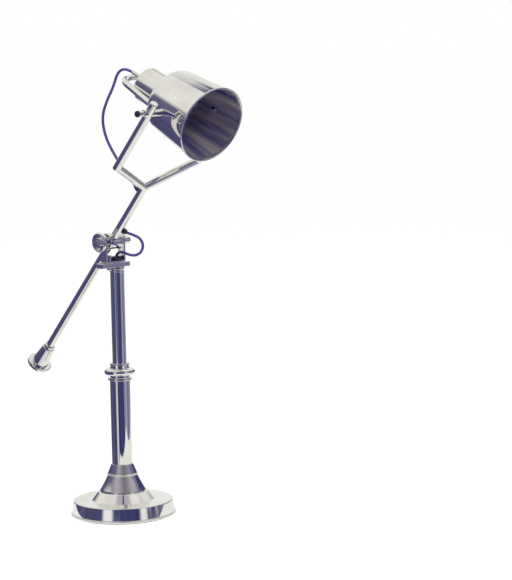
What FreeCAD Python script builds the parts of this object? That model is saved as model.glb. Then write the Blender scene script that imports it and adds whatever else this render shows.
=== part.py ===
import FreeCAD, Part
import math
import os
import Sketcher

# Table lamp with a pivoting searchlight head: a weighted round base, a stepped column, a swivelling
# yoke with a friction pivot, a counterweighted arm with a wishbone fork, and a drum shaped head that
# tilts in the fork. Millimetres. Origin at the centre of the underside of the base, +Z up. The arm
# leans towards +X, the head faces +X, and the axes of the arm pivot and the head pivot run along Y.

doc = FreeCAD.newDocument("SearchlightLamp")

SIZES = {
    # base
    "pad_radius": 95.0,
    "pad_thick": 2.0,
    "foot_radius": 100.5,
    "foot_thick": 4.4,
    "foot_edge": 1.6,
    "cover_radius": 98.0,
    "cover_top_radius": 94.6,
    "cover_height": 23.4,
    "cover_edge": 3.0,
    "spun_wall": 1.8,
    "step_low_radius": 60.0,
    "step_top_radius": 47.5,
    "step_height": 16.6,
    "step_edge": 2.4,
    "ballast_radius": 88.0,
    "ballast_thick": 16.0,
    "ballast_bore": 9.0,
    "bell_radius": 44.0,
    "bell_height": 51.6,
    "bell_bead_radius": 30.0,
    "bell_bead_height": 30.6,
    "bell_bead_thick": 3.2,
    "bell_neck_low": 28.2,
    "bell_neck_radius": 20.9,
    "bell_flare": 300.0,
    "bell_ledge": 4.0,
    "bell_socket": 12.0,
    # column
    "tube_wall": 1.5,
    "lower_tube_radius": 19.3,
    "lower_tube_top": 259.0,
    "upper_tube_radius": 13.35,
    "upper_tube_top": 465.0,
    "collar_flange_radius": 22.6,
    "collar_flange_thick": 5.0,
    "collar_ring_radius": 31.0,
    "collar_ring_half": 6.2,
    "collar_ring_height": 16.4,
    "collar_neck_radius": 18.6,
    "collar_top_radius": 18.9,
    "collar_top_height": 32.5,
    "collar_top_thick": 3.6,
    "collar_plug": 12.0,
    "collar_seat": 5.0,
    "tie_radius": 5.0,
    "tie_bore": 3.4,
    "tie_nut_radius": 8.6,
    "tie_nut_thick": 1.6,
    "slide_clearance": 0.06,
    "seat_gap": 0.1,
    "small_edge": 1.0,
    # lead outlet at the back of the base
    "grommet_radius": 6.2,
    "grommet_bore": 2.9,
    "grommet_lip": 1.6,
    "grommet_height": 11.5,
    # swivel and yoke
    "swivel_plug": 12.0,
    "swivel_cap_radius": 14.2,
    "swivel_cap_thick": 3.4,
    "swivel_neck_radius": 11.4,
    "swivel_neck_height": 2.0,
    "swivel_disc_radius": 14.4,
    "swivel_disc_thick": 4.0,
    "journal_radius": 7.0,
    "swivel_nut_radius": 8.0,
    "swivel_nut_thick": 4.4,
    "bar_length": 69.0,
    "bar_width": 18.0,
    "bar_thick": 9.4,
    "bar_edge": 1.2,
    "strap_width": 17.0,
    "strap_thick": 3.2,
    "cheek_thick": 4.0,
    "cheek_gap": 40.2,
    "cheek_top": 13.0,
    "yoke_offset": -8.7,
    "strap_screw_y": -19.6,
    "strap_nut_radius": 5.2,
    "strap_nut_height": 11.0,
    "strap_screw_radius": 2.0,
    "strap_head_radius": 4.4,
    "strap_head_height": 4.6,
    "dome_radius": 10.6,
    "dome_wall": 1.4,
    "dome_height": 8.0,
    "dome_edge": 2.6,
    "dome_hole_radius": 3.45,
    "dome_hole_back": 0.9,
    # arm pivot
    "pivot_height": 524.2,
    "arm_lean": 42.0,
    "arm_offset": -10.4,
    "block_radius": 15.5,
    "block_length": 30.0,
    "block_groove": 0.8,
    "block_land": 4.0,
    "block_edge": 1.2,
    "bolt_radius": 4.0,
    "bolt_tip": 0.9,
    "spacer_radius": 7.2,
    "washer_radius": 8.6,
    "pivot_nut_radius": 8.4,
    "pivot_nut_length": 15.0,
    "disc_radius": 20.5,
    "disc_thick": 8.0,
    "disc_hub_radius": 9.0,
    "disc_hub_length": 4.2,
    "disc_dish": 2.6,
    "disc_rim": 4.2,
    "disc_boss_radius": 8.6,
    "disc_boss_length": 1.4,
    # arm and fork
    "arm_radius": 7.6,
    "arm_below": 302.0,
    "apex_reach": 141.5,
    "fork_rise": 59.7,
    "fork_half_width": 98.3,
    "prong_pivot": 132.2,
    "prong_top": 24.0,
    "prong_cap_thick": 2.0,
    "lower_gland_reach": 33.5,
    "lower_gland_turn": 39.0,
    "lower_gland_radius": 5.6,
    "lower_gland_length": 8.0,
    "upper_gland_back": 15.0,
    "upper_gland_radius": 4.6,
    "upper_gland_length": 12.0,
    "lead_radius": 2.6,
    "lead_clearance": 0.15,
    "gland_wall": 0.7,
    # counterweight
    "weight_neck_radius": 10.6,
    "weight_neck_length": 7.0,
    "weight_top_radius": 11.4,
    "weight_low_radius": 16.4,
    "weight_body_length": 42.0,
    "weight_flange_radius": 24.0,
    "weight_flange_thick": 8.0,
    "weight_dome": 2.0,
    "weight_dome_radius": 17.0,
    "weight_socket": 14.0,
    # head
    "head_tilt": 22.4,
    "rim_forward": 61.3,
    "rim_radius": 70.6,
    "shade_wall": 1.2,
    "drum_back": 59.0,
    "drum_back_radius": 59.0,
    "drum_shoulder": 21.0,
    "bead_radius": 1.7,
    "liner_wall": 0.9,
    "liner_gap": 0.4,
    "liner_mouth": 27.0,
    "can_radius": 33.5,
    "can_length": 64.0,
    "can_edge": 5.0,
    "can_flange": 2.5,
    "can_flange_thick": 2.0,
    "holder_radius": 19.0,
    "holder_length": 44.0,
    "holder_bore": 14.0,
    "holder_depth": 30.0,
    "holder_stem_radius": 6.0,
    "outlet_rise": 14.0,
    "outlet_side": -18.0,
    "outlet_radius": 5.6,
    "outlet_length": 24.0,
    "outlet_nut": 6.0,
    "outlet_sleeve": 3.8,
    "handle_radius": 6.0,
    "handle_foot_half": 44.0,
    "handle_back_half": 36.3,
    "handle_reach": 99.0,
    "handle_bend": 29.5,
    "handle_pitch": 4.3,
    "handle_drop": 9.0,
    "handle_root": 14.0,
    "boss_radius": 7.0,
    "bush_radius": 6.4,
    "bush_stand": 1.2,
    "head_bolt_radius": 3.6,
    "head_bolt_head": 6.4,
    "head_bolt_cap": 3.0,
    "lock_nut_radius": 7.0,
    "lock_nut_thick": 4.0,
    "tilt_knob_radius": 5.2,
    "tilt_knob_length": 11.0,
    "tilt_tip_radius": 6.0,
    "tilt_tip_length": 5.0,
    "acorn_radius": 6.2,
    "acorn_cap": 4.0,
    "clip_length": 9.0,
    "clip_width": 6.0,
    "clip_thick": 2.2,
    "clip_set_back": 3.0,
}

sheet = doc.addObject("Spreadsheet::Sheet", "Sizes")
for row, (name, number) in enumerate(SIZES.items(), 1):
    sheet.set(f"A{row}", name)
    sheet.set(f"B{row}", str(number))
    sheet.setAlias(f"B{row}", name)
doc.recompute()


class Size:
    """A length or angle together with the expression of sheet cells that gives it."""

    def __init__(self, number, text):
        self.number = float(number)
        self.text = text

    @staticmethod
    def of(other):
        if isinstance(other, Size):
            return other
        return Size(other, repr(float(other)))

    def __add__(self, other):
        other = Size.of(other)
        return Size(self.number + other.number, f"({self.text} + {other.text})")

    def __radd__(self, other):
        return Size.of(other) + self

    def __sub__(self, other):
        other = Size.of(other)
        return Size(self.number - other.number, f"({self.text} - {other.text})")

    def __rsub__(self, other):
        return Size.of(other) - self

    def __mul__(self, other):
        other = Size.of(other)
        return Size(self.number * other.number, f"({self.text} * {other.text})")

    def __rmul__(self, other):
        return Size.of(other) * self

    def __truediv__(self, other):
        other = Size.of(other)
        return Size(self.number / other.number, f"({self.text} / {other.text})")

    def __neg__(self):
        return Size(-self.number, f"(0 - {self.text})")


def sine(angle):
    angle = Size.of(angle)
    return Size(math.sin(math.radians(angle.number)), f"sin({angle.text})")


def cosine(angle):
    angle = Size.of(angle)
    return Size(math.cos(math.radians(angle.number)), f"cos({angle.text})")


def tangent(angle):
    angle = Size.of(angle)
    return Size(math.tan(math.radians(angle.number)), f"tan({angle.text})")


def angle_of(rise, run):
    ratio = Size.of(rise) / run
    return Size(math.degrees(math.atan(ratio.number)), f"(atan({ratio.text}) / 1 deg)")


def root(value):
    return Size(math.sqrt(value.number), f"sqrt({value.text})")


class Book:
    """The named sizes, read as attributes."""

    def __getattr__(self, name):
        return Size(float(sheet.get(name)), f"Sizes.{name}")


dim = Book()


class Pose:
    """A place and a turn, kept both as a placement and as the expression that gives it."""

    def __init__(self, x=0, y=0, z=0, axis=(0, 1, 0), turn=0):
        x, y, z, turn = Size.of(x), Size.of(y), Size.of(z), Size.of(turn)
        self.placement = FreeCAD.Placement(
            FreeCAD.Vector(x.number, y.number, z.number),
            FreeCAD.Rotation(FreeCAD.Vector(*axis), turn.number),
        )
        self.text = (
            f"placement(vector({x.text}; {y.text}; {z.text}); "
            f"rotation(vector({axis[0]}; {axis[1]}; {axis[2]}); {turn.text}))"
        )

    def __mul__(self, other):
        joined = Pose()
        joined.placement = self.placement.multiply(other.placement)
        joined.text = f"{self.text} * {other.text}"
        return joined

    def point(self, x, y, z):
        return self.placement.multVec(FreeCAD.Vector(float(x), float(y), float(z)))


HOME = Pose()
finished = []


def place(item, pose):
    item.Placement = pose.placement
    item.setExpression("Placement", pose.text)


class Piece:
    """One part of the lamp, built as a body of sketched features."""

    def __init__(self, label, pose=HOME):
        self.body = doc.addObject("PartDesign::Body", label)
        self.body.Label = label
        self.label = label
        self.count = 0
        self.volume = 0.0
        place(self.body, pose)
        finished.append(self.body)

    def plane(self, role):
        return [f for f in self.body.Origin.OriginFeatures if f.Role == role][0]

    def sketch(self, role, offset=None):
        """Starts a sketch on a plane of the piece, moved along its normal or turned by a pose."""
        self.count += 1
        drawn = self.body.newObject("Sketcher::SketchObject", f"{self.label}_sketch{self.count}")
        drawn.AttachmentSupport = [(self.plane(role), "")]
        drawn.MapMode = "FlatFace"
        if offset is not None:
            shift = offset if isinstance(offset, Pose) else Pose(z=offset)
            drawn.AttachmentOffset = shift.placement
            drawn.setExpression("AttachmentOffset", shift.text)
        return drawn

    def outline(self, drawn, corners, closed=True):
        """Draws an outline. A corner is (x, y) or (x, y, radius, side) for an arc to the next."""
        placed = []
        for corner in corners:
            x, y = Size.of(corner[0]), Size.of(corner[1])
            arc = (Size.of(corner[2]), corner[3]) if len(corner) > 2 else None
            placed.append((x, y, arc))
        total = len(placed)
        pieces = total if closed else total - 1
        for index, (x, y, arc) in enumerate(placed[:pieces]):
            start = FreeCAD.Vector(x.number, y.number, 0)
            after = placed[(index + 1) % total]
            end = FreeCAD.Vector(after[0].number, after[1].number, 0)
            if arc is None:
                drawn.addGeometry(Part.LineSegment(start, end))
            else:
                middle = (start + end) * 0.5
                half = (end - start).Length / 2
                across = FreeCAD.Vector(-(end - start).y, (end - start).x, 0)
                across.normalize()
                radius = arc[0].number
                rise = radius - math.sqrt(max(radius * radius - half * half, 0.0))
                drawn.addGeometry(Part.Arc(start, middle + across * (arc[1] * rise), end))
        for index in range(pieces if closed else pieces - 1):
            here = self.end_of(placed, index)
            there = self.start_of(placed, (index + 1) % total)
            drawn.addConstraint(
                Sketcher.Constraint("Coincident", index, here, (index + 1) % total, there)
            )
        if not closed:
            last = self.end_of(placed, pieces - 1)
            self.fix(drawn, pieces - 1, last, placed[-1][0], "DistanceX", -2)
            self.fix(drawn, pieces - 1, last, placed[-1][1], "DistanceY", -1)
        for index, (x, y, arc) in enumerate(placed[:pieces]):
            first = self.start_of(placed, index)
            self.fix(drawn, index, first, x, "DistanceX", -2)
            self.fix(drawn, index, first, y, "DistanceY", -1)
            if arc is not None:
                mark = drawn.addConstraint(Sketcher.Constraint("Radius", index, arc[0].number))
                drawn.setExpression(f"Constraints[{mark}]", arc[0].text)

    def turns_left(self, placed, index):
        return placed[index][2] is not None and placed[index][2][1] > 0

    def start_of(self, placed, index):
        return 2 if self.turns_left(placed, index) else 1

    def end_of(self, placed, index):
        return 1 if self.turns_left(placed, index) else 2

    def fix(self, drawn, item, end, value, kind, axis):
        if value.number == 0:
            drawn.addConstraint(Sketcher.Constraint("PointOnObject", item, end, axis))
        else:
            mark = drawn.addConstraint(Sketcher.Constraint(kind, -1, 1, item, end, value.number))
            drawn.setExpression(f"Constraints[{mark}]", value.text)

    def ring(self, drawn, x, y, radius):
        x, y, radius = Size.of(x), Size.of(y), Size.of(radius)
        where = FreeCAD.Vector(x.number, y.number, 0)
        item = drawn.addGeometry(Part.Circle(where, FreeCAD.Vector(0, 0, 1), radius.number))
        mark = drawn.addConstraint(Sketcher.Constraint("Radius", item, radius.number))
        drawn.setExpression(f"Constraints[{mark}]", radius.text)
        self.fix(drawn, item, 3, x, "DistanceX", -2)
        self.fix(drawn, item, 3, y, "DistanceY", -1)

    def turn(self, corners):
        """Revolves an outline of (radius, height) corners about the piece's own Z axis."""
        drawn = self.sketch("XZ_Plane")
        self.outline(drawn, corners)
        made = self.body.newObject("PartDesign::Revolution", f"{self.label}_turned{self.count}")
        made.Profile = drawn
        made.ReferenceAxis = (drawn, ["V_Axis"])
        made.Angle = 360
        return self.keep(made)

    def groove(self, corners):
        drawn = self.sketch("XZ_Plane")
        self.outline(drawn, corners)
        made = self.body.newObject("PartDesign::Groove", f"{self.label}_groove{self.count}")
        made.Profile = drawn
        made.ReferenceAxis = (drawn, ["V_Axis"])
        made.Angle = 360
        return self.keep(made, -1)

    def pad(self, role, corners, depth, both=False, offset=None, rings=()):
        depth = Size.of(depth)
        drawn = self.sketch(role, offset)
        if corners:
            self.outline(drawn, corners)
        for x, y, radius in rings:
            self.ring(drawn, x, y, radius)
        made = self.body.newObject("PartDesign::Pad", f"{self.label}_pad{self.count}")
        made.Profile = drawn
        made.Length = depth.number
        made.setExpression("Length", depth.text)
        if both:
            made.SideType = "Symmetric"
        return self.keep(made, 1)

    def pocket(self, role, corners, depth, both=True, offset=None, rings=(), flip=False):
        depth = Size.of(depth)
        drawn = self.sketch(role, offset)
        if corners:
            self.outline(drawn, corners)
        for x, y, radius in rings:
            self.ring(drawn, x, y, radius)
        made = self.body.newObject("PartDesign::Pocket", f"{self.label}_pocket{self.count}")
        made.Profile = drawn
        made.Length = depth.number
        made.setExpression("Length", depth.text)
        if both:
            made.SideType = "Symmetric"
        made.Reversed = flip
        return self.keep(made, -1)

    def sweep(self, route, radius):
        """Runs a round section along an open sketched route."""
        self.count += 1
        section = self.body.newObject("Sketcher::SketchObject", f"{self.label}_section")
        section.AttachmentSupport = [(route, "Edge1")]
        section.MapMode = "NormalToEdge"
        section.MapPathParameter = 0
        self.ring(section, 0, 0, radius)
        doc.recompute()
        made = self.body.newObject("PartDesign::AdditivePipe", f"{self.label}_rod")
        made.Profile = section
        made.Spine = (route, [f"Edge{i + 1}" for i in range(len(route.Geometry))])
        return self.keep(made)

    def bead(self, x, y, radius):
        """Adds a round bead, revolved about the piece's Z axis."""
        drawn = self.sketch("XZ_Plane")
        self.ring(drawn, x, y, radius)
        made = self.body.newObject("PartDesign::Revolution", f"{self.label}_bead{self.count}")
        made.Profile = drawn
        made.ReferenceAxis = (drawn, ["V_Axis"])
        made.Angle = 360
        return self.keep(made, 1)

    def mirror(self, role):
        """Repeats the whole piece so far on the other side of one of its own planes."""
        self.count += 1
        features = [f for f in self.body.Group if f.isDerivedFrom("PartDesign::Feature")]
        made = self.body.newObject("PartDesign::Mirrored", f"{self.label}_mirror{self.count}")
        made.Originals = features
        made.MirrorPlane = (self.plane(role), [""])
        self.body.Tip = made
        return self.keep(made, 1)

    def straight(self, test, along=None):
        """Names the straight edges whose two ends both pass a test, all or only along one axis."""
        names = []
        for index, edge in enumerate(self.body.Tip.Shape.Edges, 1):
            if not isinstance(edge.Curve, Part.Line):
                continue
            if along is not None and abs(edge.Curve.Direction.dot(FreeCAD.Vector(*along))) < 0.99:
                continue
            if all(test(vertex.Point) for vertex in edge.Vertexes):
                names.append(f"Edge{index}")
        if not names:
            raise ValueError(f"{self.label}: no straight edges found")
        return names

    def keep(self, made, way=0):
        before = self.volume
        doc.recompute()
        self.volume = made.Shape.Volume
        if way < 0 and not self.volume < before - 1e-6:
            raise ValueError(f"{self.label}: {made.Name} removed nothing")
        if way > 0 and self.count > 1 and not self.volume > before + 1e-6:
            raise ValueError(f"{self.label}: {made.Name} added nothing")
        return made

    def edges(self, wanted):
        """Names the round edges about the piece's Z axis that pass through a (radius, height)."""
        shape = self.body.Tip.Shape
        names = []
        for index, edge in enumerate(shape.Edges, 1):
            curve = edge.Curve
            if not isinstance(curve, Part.Circle):
                continue
            for radius, height in wanted:
                if abs(curve.Radius - Size.of(radius).number) > 0.02:
                    continue
                if abs(curve.Center.z - Size.of(height).number) > 0.02:
                    continue
                if abs(abs(curve.Axis.z) - 1) < 1e-6:
                    names.append(f"Edge{index}")
        if len(names) < len(wanted):
            raise ValueError(f"{self.label}: {len(names)} of {len(wanted)} edges found")
        return names

    def soften(self, wanted, size, bevel=False):
        size = Size.of(size)
        kind = "PartDesign::Chamfer" if bevel else "PartDesign::Fillet"
        names = wanted if isinstance(wanted[0], str) else self.edges(wanted)
        self.count += 1
        base = self.body.Tip
        made = self.body.newObject(kind, f"{self.label}_edge{self.count}")
        made.Base = (base, names)
        field = "Size" if bevel else "Radius"
        setattr(made, field, size.number)
        made.setExpression(field, size.text)
        return self.keep(made)


def tube(label, radius, wall, low, high, pose=HOME):
    """A plain round tube along its own Z axis."""
    piece = Piece(label, pose)
    inner = radius - wall
    piece.turn([(inner, low), (radius, low), (radius, high), (inner, high)])
    return piece


# Heights on the column, from the table up.
foot_top = dim.pad_thick + dim.foot_thick
cover_top = foot_top + dim.cover_height
step_top = cover_top + dim.step_height
bell_top = step_top + dim.bell_height
swivel_cap_top = dim.upper_tube_top + dim.swivel_cap_thick
swivel_neck_top = swivel_cap_top + dim.swivel_neck_height
swivel_disc_top = swivel_neck_top + dim.swivel_disc_thick
bar_low = swivel_disc_top + dim.seat_gap
bar_top = bar_low + dim.bar_thick
strap_top = bar_top + dim.strap_thick
journal_top = strap_top + dim.seat_gap

# Base: felt pad, steel foot, hollow spun cover with a raised step, and the ballast inside it.
pad = Piece("base_pad")
pad.turn([(0, 0), (dim.pad_radius, 0), (dim.pad_radius, dim.pad_thick), (0, dim.pad_thick)])

foot = Piece("foot_plate")
recess_top = dim.pad_thick + dim.tie_nut_thick + 2 * dim.seat_gap
foot.turn([
    (dim.tie_nut_radius + dim.seat_gap, dim.pad_thick),
    (dim.foot_radius, dim.pad_thick),
    (dim.foot_radius, foot_top),
    (dim.tie_radius + dim.seat_gap, foot_top),
    (dim.tie_radius + dim.seat_gap, recess_top),
    (dim.tie_nut_radius + dim.seat_gap, recess_top),
])
foot.soften([(dim.foot_radius, foot_top), (dim.foot_radius, dim.pad_thick)], dim.foot_edge)

cover_inner = dim.cover_radius - dim.spun_wall
hub_bore = dim.tie_radius + dim.seat_gap
cover = Piece("base_cover")
cover.turn([
    (cover_inner, foot_top),
    (dim.cover_radius, foot_top),
    (dim.cover_top_radius, cover_top),
    (dim.step_low_radius, cover_top),
    (dim.step_top_radius, step_top),
    (hub_bore, step_top),
    (hub_bore, step_top - dim.spun_wall),
    (dim.step_top_radius - dim.spun_wall, step_top - dim.spun_wall),
    (dim.step_low_radius - dim.spun_wall, cover_top - dim.spun_wall),
    (dim.cover_top_radius - dim.spun_wall, cover_top - dim.spun_wall),
])
cover.soften([(dim.cover_top_radius, cover_top)], dim.cover_edge)
cover.soften([(dim.step_top_radius, step_top)], dim.step_edge)
outlet_z = foot_top + dim.grommet_height
cover_lean = math.atan2((dim.cover_radius - dim.cover_top_radius).number, dim.cover_height.number)
hole_z = outlet_z + dim.spun_wall * (math.sin(cover_lean) / 2)
cover.pocket(
    "YZ_Plane", [], dim.cover_radius, both=False,
    rings=[(0, hole_z, dim.grommet_radius + 2 * dim.seat_gap)], flip=False,
)

ballast = Piece("ballast_weight")
ballast.turn([
    (dim.ballast_bore, foot_top),
    (dim.ballast_radius, foot_top),
    (dim.ballast_radius, foot_top + dim.ballast_thick),
    (dim.ballast_bore, foot_top + dim.ballast_thick),
])
ballast.soften([(dim.ballast_radius, foot_top + dim.ballast_thick)], dim.cover_edge)

# Rubber bush in the hole at the back of the cover, where the supply lead comes out.
outlet_x = cover_inner - (outlet_z - foot_top) * math.tan(cover_lean)
grommet = Piece("lead_grommet", Pose(-outlet_x, 0, outlet_z, (0, 1, 0), math.degrees(cover_lean) - 90))
barrel = dim.grommet_radius - dim.seat_gap
lip = dim.grommet_radius + dim.grommet_lip
grommet.turn([
    (dim.grommet_bore, -dim.grommet_lip),
    (barrel, -dim.grommet_lip),
    (barrel, dim.spun_wall + dim.seat_gap),
    (lip, dim.spun_wall + dim.seat_gap),
    (lip, dim.spun_wall + dim.grommet_lip),
    (dim.grommet_radius, dim.spun_wall + 2 * dim.grommet_lip),
    (dim.grommet_bore, dim.spun_wall + 2 * dim.grommet_lip),
])

# Bell: a hollow flared skirt with a bead, and a socket with a ledge that the lower tube stands on.
bead_low = step_top + dim.bell_bead_height
bead_top = bead_low + dim.bell_bead_thick
socket_floor = bell_top - dim.bell_socket
socket_bore = dim.lower_tube_radius + dim.seat_gap
ledge_bore = socket_bore - dim.bell_ledge
bell = Piece("bell_skirt")
bell.turn([
    (dim.bell_radius, step_top),
    (dim.bell_radius, step_top + dim.spun_wall, dim.bell_flare, 1),
    (dim.bell_bead_radius - dim.spun_wall, bead_low),
    (dim.bell_bead_radius, bead_low),
    (dim.bell_bead_radius, bead_top),
    (dim.bell_neck_low, bead_top),
    (dim.bell_neck_radius, bell_top),
    (socket_bore, bell_top),
    (socket_bore, socket_floor),
    (ledge_bore, socket_floor),
    (ledge_bore, socket_floor - dim.bell_ledge),
    (dim.bell_bead_radius - 3 * dim.spun_wall, bead_low - dim.bell_ledge),
    (dim.bell_radius - dim.spun_wall * 3, step_top),
])
bell.soften([(dim.bell_bead_radius, bead_low), (dim.bell_bead_radius, bead_top)], dim.bell_bead_thick * 0.45)

# Column: a lower tube, a turned collar with a round ring, and a slimmer upper tube.
tube("lower_column", dim.lower_tube_radius, dim.tube_wall, socket_floor, dim.lower_tube_top)

collar_low = dim.lower_tube_top
flange_top = collar_low + dim.collar_flange_thick
ring_mid = collar_low + dim.collar_ring_height
collar_top = collar_low + dim.collar_top_height
ring_low = ring_mid - dim.collar_ring_half
ring_high = ring_mid + dim.collar_ring_half
collar_bore = dim.upper_tube_radius + dim.seat_gap
collar_plug_radius = dim.lower_tube_radius - dim.tube_wall - dim.seat_gap
collar_seat = collar_low + dim.collar_seat
ring_start = dim.collar_ring_radius - dim.collar_ring_half
collar = Piece("collar")
collar.turn([
    (collar_bore - 2 * dim.tube_wall, collar_low - dim.collar_plug),
    (collar_plug_radius, collar_low - dim.collar_plug),
    (collar_plug_radius, collar_low),
    (dim.collar_flange_radius, collar_low),
    (dim.collar_flange_radius, flange_top),
    (dim.collar_neck_radius, flange_top),
    (dim.collar_neck_radius, ring_low),
    (ring_start, ring_low, dim.collar_ring_half * 1.04, -1),
    (ring_start, ring_high),
    (dim.collar_neck_radius, ring_high),
    (dim.collar_neck_radius - dim.tube_wall, collar_top - dim.collar_top_thick),
    (dim.collar_top_radius, collar_top - dim.collar_top_thick),
    (dim.collar_top_radius, collar_top),
    (collar_bore, collar_top),
    (collar_bore, collar_seat),
    (collar_bore - 2 * dim.tube_wall, collar_seat),
])
collar.soften([(dim.collar_flange_radius, collar_low), (dim.collar_flange_radius, flange_top)], 1.2)
collar.soften([(dim.collar_top_radius, collar_top)], dim.small_edge)

tube("upper_column", dim.upper_tube_radius, dim.tube_wall, collar_seat, dim.upper_tube_top)

# A hollow tie rod runs the whole height and draws the stack together between two ring nuts.
tie_low = recess_top - dim.tie_nut_thick
swivel_nut_low = journal_top + dim.seat_gap
swivel_nut_top = swivel_nut_low + dim.swivel_nut_thick
tie = Piece("tie_tube")
tie.turn([
    (dim.tie_bore, tie_low),
    (dim.tie_radius, tie_low),
    (dim.tie_radius, swivel_nut_top),
    (dim.tie_bore, swivel_nut_top),
])

tie_nut = Piece("tie_nut")
tie_nut.turn([
    (dim.tie_radius + dim.slide_clearance, tie_low),
    (dim.tie_nut_radius, tie_low),
    (dim.tie_nut_radius, recess_top),
    (dim.tie_radius + dim.slide_clearance, recess_top),
])

# Swivel: a turned seat plugged into the upper tube, with the journal that the yoke turns on.
swivel_plug_radius = dim.upper_tube_radius - dim.tube_wall - dim.seat_gap
seat = Piece("swivel_seat")
seat.turn([
    (hub_bore, dim.upper_tube_top - dim.swivel_plug),
    (swivel_plug_radius, dim.upper_tube_top - dim.swivel_plug),
    (swivel_plug_radius, dim.upper_tube_top),
    (dim.swivel_cap_radius, dim.upper_tube_top),
    (dim.swivel_cap_radius, swivel_cap_top),
    (dim.swivel_neck_radius, swivel_cap_top),
    (dim.swivel_neck_radius, swivel_neck_top),
    (dim.swivel_disc_radius, swivel_neck_top),
    (dim.swivel_disc_radius, swivel_disc_top),
    (dim.journal_radius, swivel_disc_top),
    (dim.journal_radius, journal_top),
    (hub_bore, journal_top),
])
seat.soften([(dim.swivel_cap_radius, swivel_cap_top)], dim.small_edge)
seat.soften([(dim.swivel_disc_radius, swivel_neck_top)], dim.small_edge)

swivel_nut = Piece("swivel_nut")
swivel_nut.turn([
    (dim.tie_radius + dim.slide_clearance, swivel_nut_low),
    (dim.swivel_nut_radius, swivel_nut_low),
    (dim.swivel_nut_radius, swivel_nut_top),
    (dim.tie_radius + dim.slide_clearance, swivel_nut_top),
])

# Yoke: a bar, and a bent strap screwed to it from below whose two cheeks carry the pivot bolt.
journal_bore = dim.journal_radius + dim.slide_clearance
half_width = dim.bar_width / 2
bar_near = dim.yoke_offset - dim.bar_length / 2
bar_far = dim.yoke_offset + dim.bar_length / 2
screw_y = dim.strap_screw_y
screw_hole = dim.strap_screw_radius + dim.seat_gap
bar = Piece("yoke_bar")
bar.pad(
    "XY_Plane",
    [(-half_width, bar_near), (half_width, bar_near), (half_width, bar_far), (-half_width, bar_far)],
    dim.bar_thick,
    offset=bar_low,
    rings=[(0, 0, journal_bore), (0, screw_y, screw_hole)],
)
for level in (bar_low, bar_top):
    bar.soften(
        bar.straight(
            lambda p: abs(abs(p.x) - half_width.number) < 0.01 and abs(p.z - level.number) < 0.01
        ),
        dim.bar_edge,
    )

cheek_near_in = dim.yoke_offset - dim.cheek_gap / 2
cheek_near_out = cheek_near_in - dim.cheek_thick
cheek_far_in = dim.yoke_offset + dim.cheek_gap / 2
cheek_far_out = cheek_far_in + dim.cheek_thick
cheek_high = dim.pivot_height + dim.cheek_top
strap_half = dim.strap_width / 2
strap = Piece("yoke_strap")
strap.pad(
    "YZ_Plane",
    [
        (cheek_near_out, bar_top),
        (cheek_far_out, bar_top),
        (cheek_far_out, cheek_high),
        (cheek_far_in, cheek_high),
        (cheek_far_in, strap_top),
        (cheek_near_in, strap_top),
        (cheek_near_in, cheek_high),
        (cheek_near_out, cheek_high),
    ],
    dim.strap_width,
    both=True,
)
strap.soften(
    strap.straight(
        lambda p: abs(abs(p.x) - strap_half.number) < 0.01 and abs(p.z - cheek_high.number) < 0.01,
        along=(0, 1, 0),
    ),
    strap_half * 0.9,
)
outer_faces = (cheek_near_out.number, cheek_far_out.number)
strap.soften(
    strap.straight(
        lambda p: min(abs(p.y - face) for face in outer_faces) < 0.01
        and abs(p.z - bar_top.number) < 0.01,
        along=(1, 0, 0),
    ),
    dim.cheek_thick * 0.6,
)
bolt_hole = dim.bolt_radius + dim.slide_clearance
strap.pocket("XZ_Plane", [], dim.bar_length * 2, rings=[(0, dim.pivot_height, bolt_hole)])
strap.pocket(
    "XY_Plane", [], dim.strap_thick * 3, offset=bar_top,
    rings=[(0, 0, journal_bore), (0, screw_y, screw_hole)],
)

# One screw from below keys the strap to the bar; a tall round nut takes it on top of the strap.
strap_nut_top = strap_top + dim.strap_nut_height
screw_end = strap_nut_top - dim.strap_screw_radius
screw_frame = Pose(0, screw_y, 0)
screw = Piece("strap_screw", screw_frame)
screw.turn([
    (0, bar_low - dim.strap_head_height),
    (dim.strap_head_radius, bar_low - dim.strap_head_height),
    (dim.strap_head_radius, bar_low),
    (dim.strap_screw_radius, bar_low),
    (dim.strap_screw_radius, screw_end),
    (0, screw_end),
])
screw.soften([(dim.strap_head_radius, bar_low - dim.strap_head_height)], dim.small_edge)

strap_nut = Piece("strap_nut", screw_frame)
strap_nut.turn([
    (dim.strap_screw_radius + dim.slide_clearance, strap_top),
    (dim.strap_nut_radius, strap_top),
    (dim.strap_nut_radius, strap_nut_top),
    (0, strap_nut_top),
    (0, screw_end + dim.seat_gap),
    (dim.strap_screw_radius + dim.slide_clearance, screw_end + dim.seat_gap),
])
strap_nut.soften([(dim.strap_nut_radius, strap_nut_top)], dim.small_edge)

# Dark cap over the swivel nut, where the arm lead goes down into the column.
dome_top = strap_top + dim.dome_height
lead_bore = dim.lead_radius + dim.lead_clearance
dome_inner = dim.dome_radius - dim.dome_wall
dome = Piece("lead_dome")
dome.turn([
    (dome_inner, strap_top),
    (dim.dome_radius, strap_top),
    (dim.dome_radius, dome_top),
    (0, dome_top),
    (0, dome_top - dim.dome_wall),
    (dome_inner, dome_top - dim.dome_wall),
])
dome.soften([(dim.dome_radius, dome_top)], dim.dome_edge)
dome.pocket(
    "XY_Plane", [], dim.dome_wall * 3, offset=dome_top,
    rings=[(-dim.dome_hole_back, 0, dim.dome_hole_radius)],
)

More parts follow.
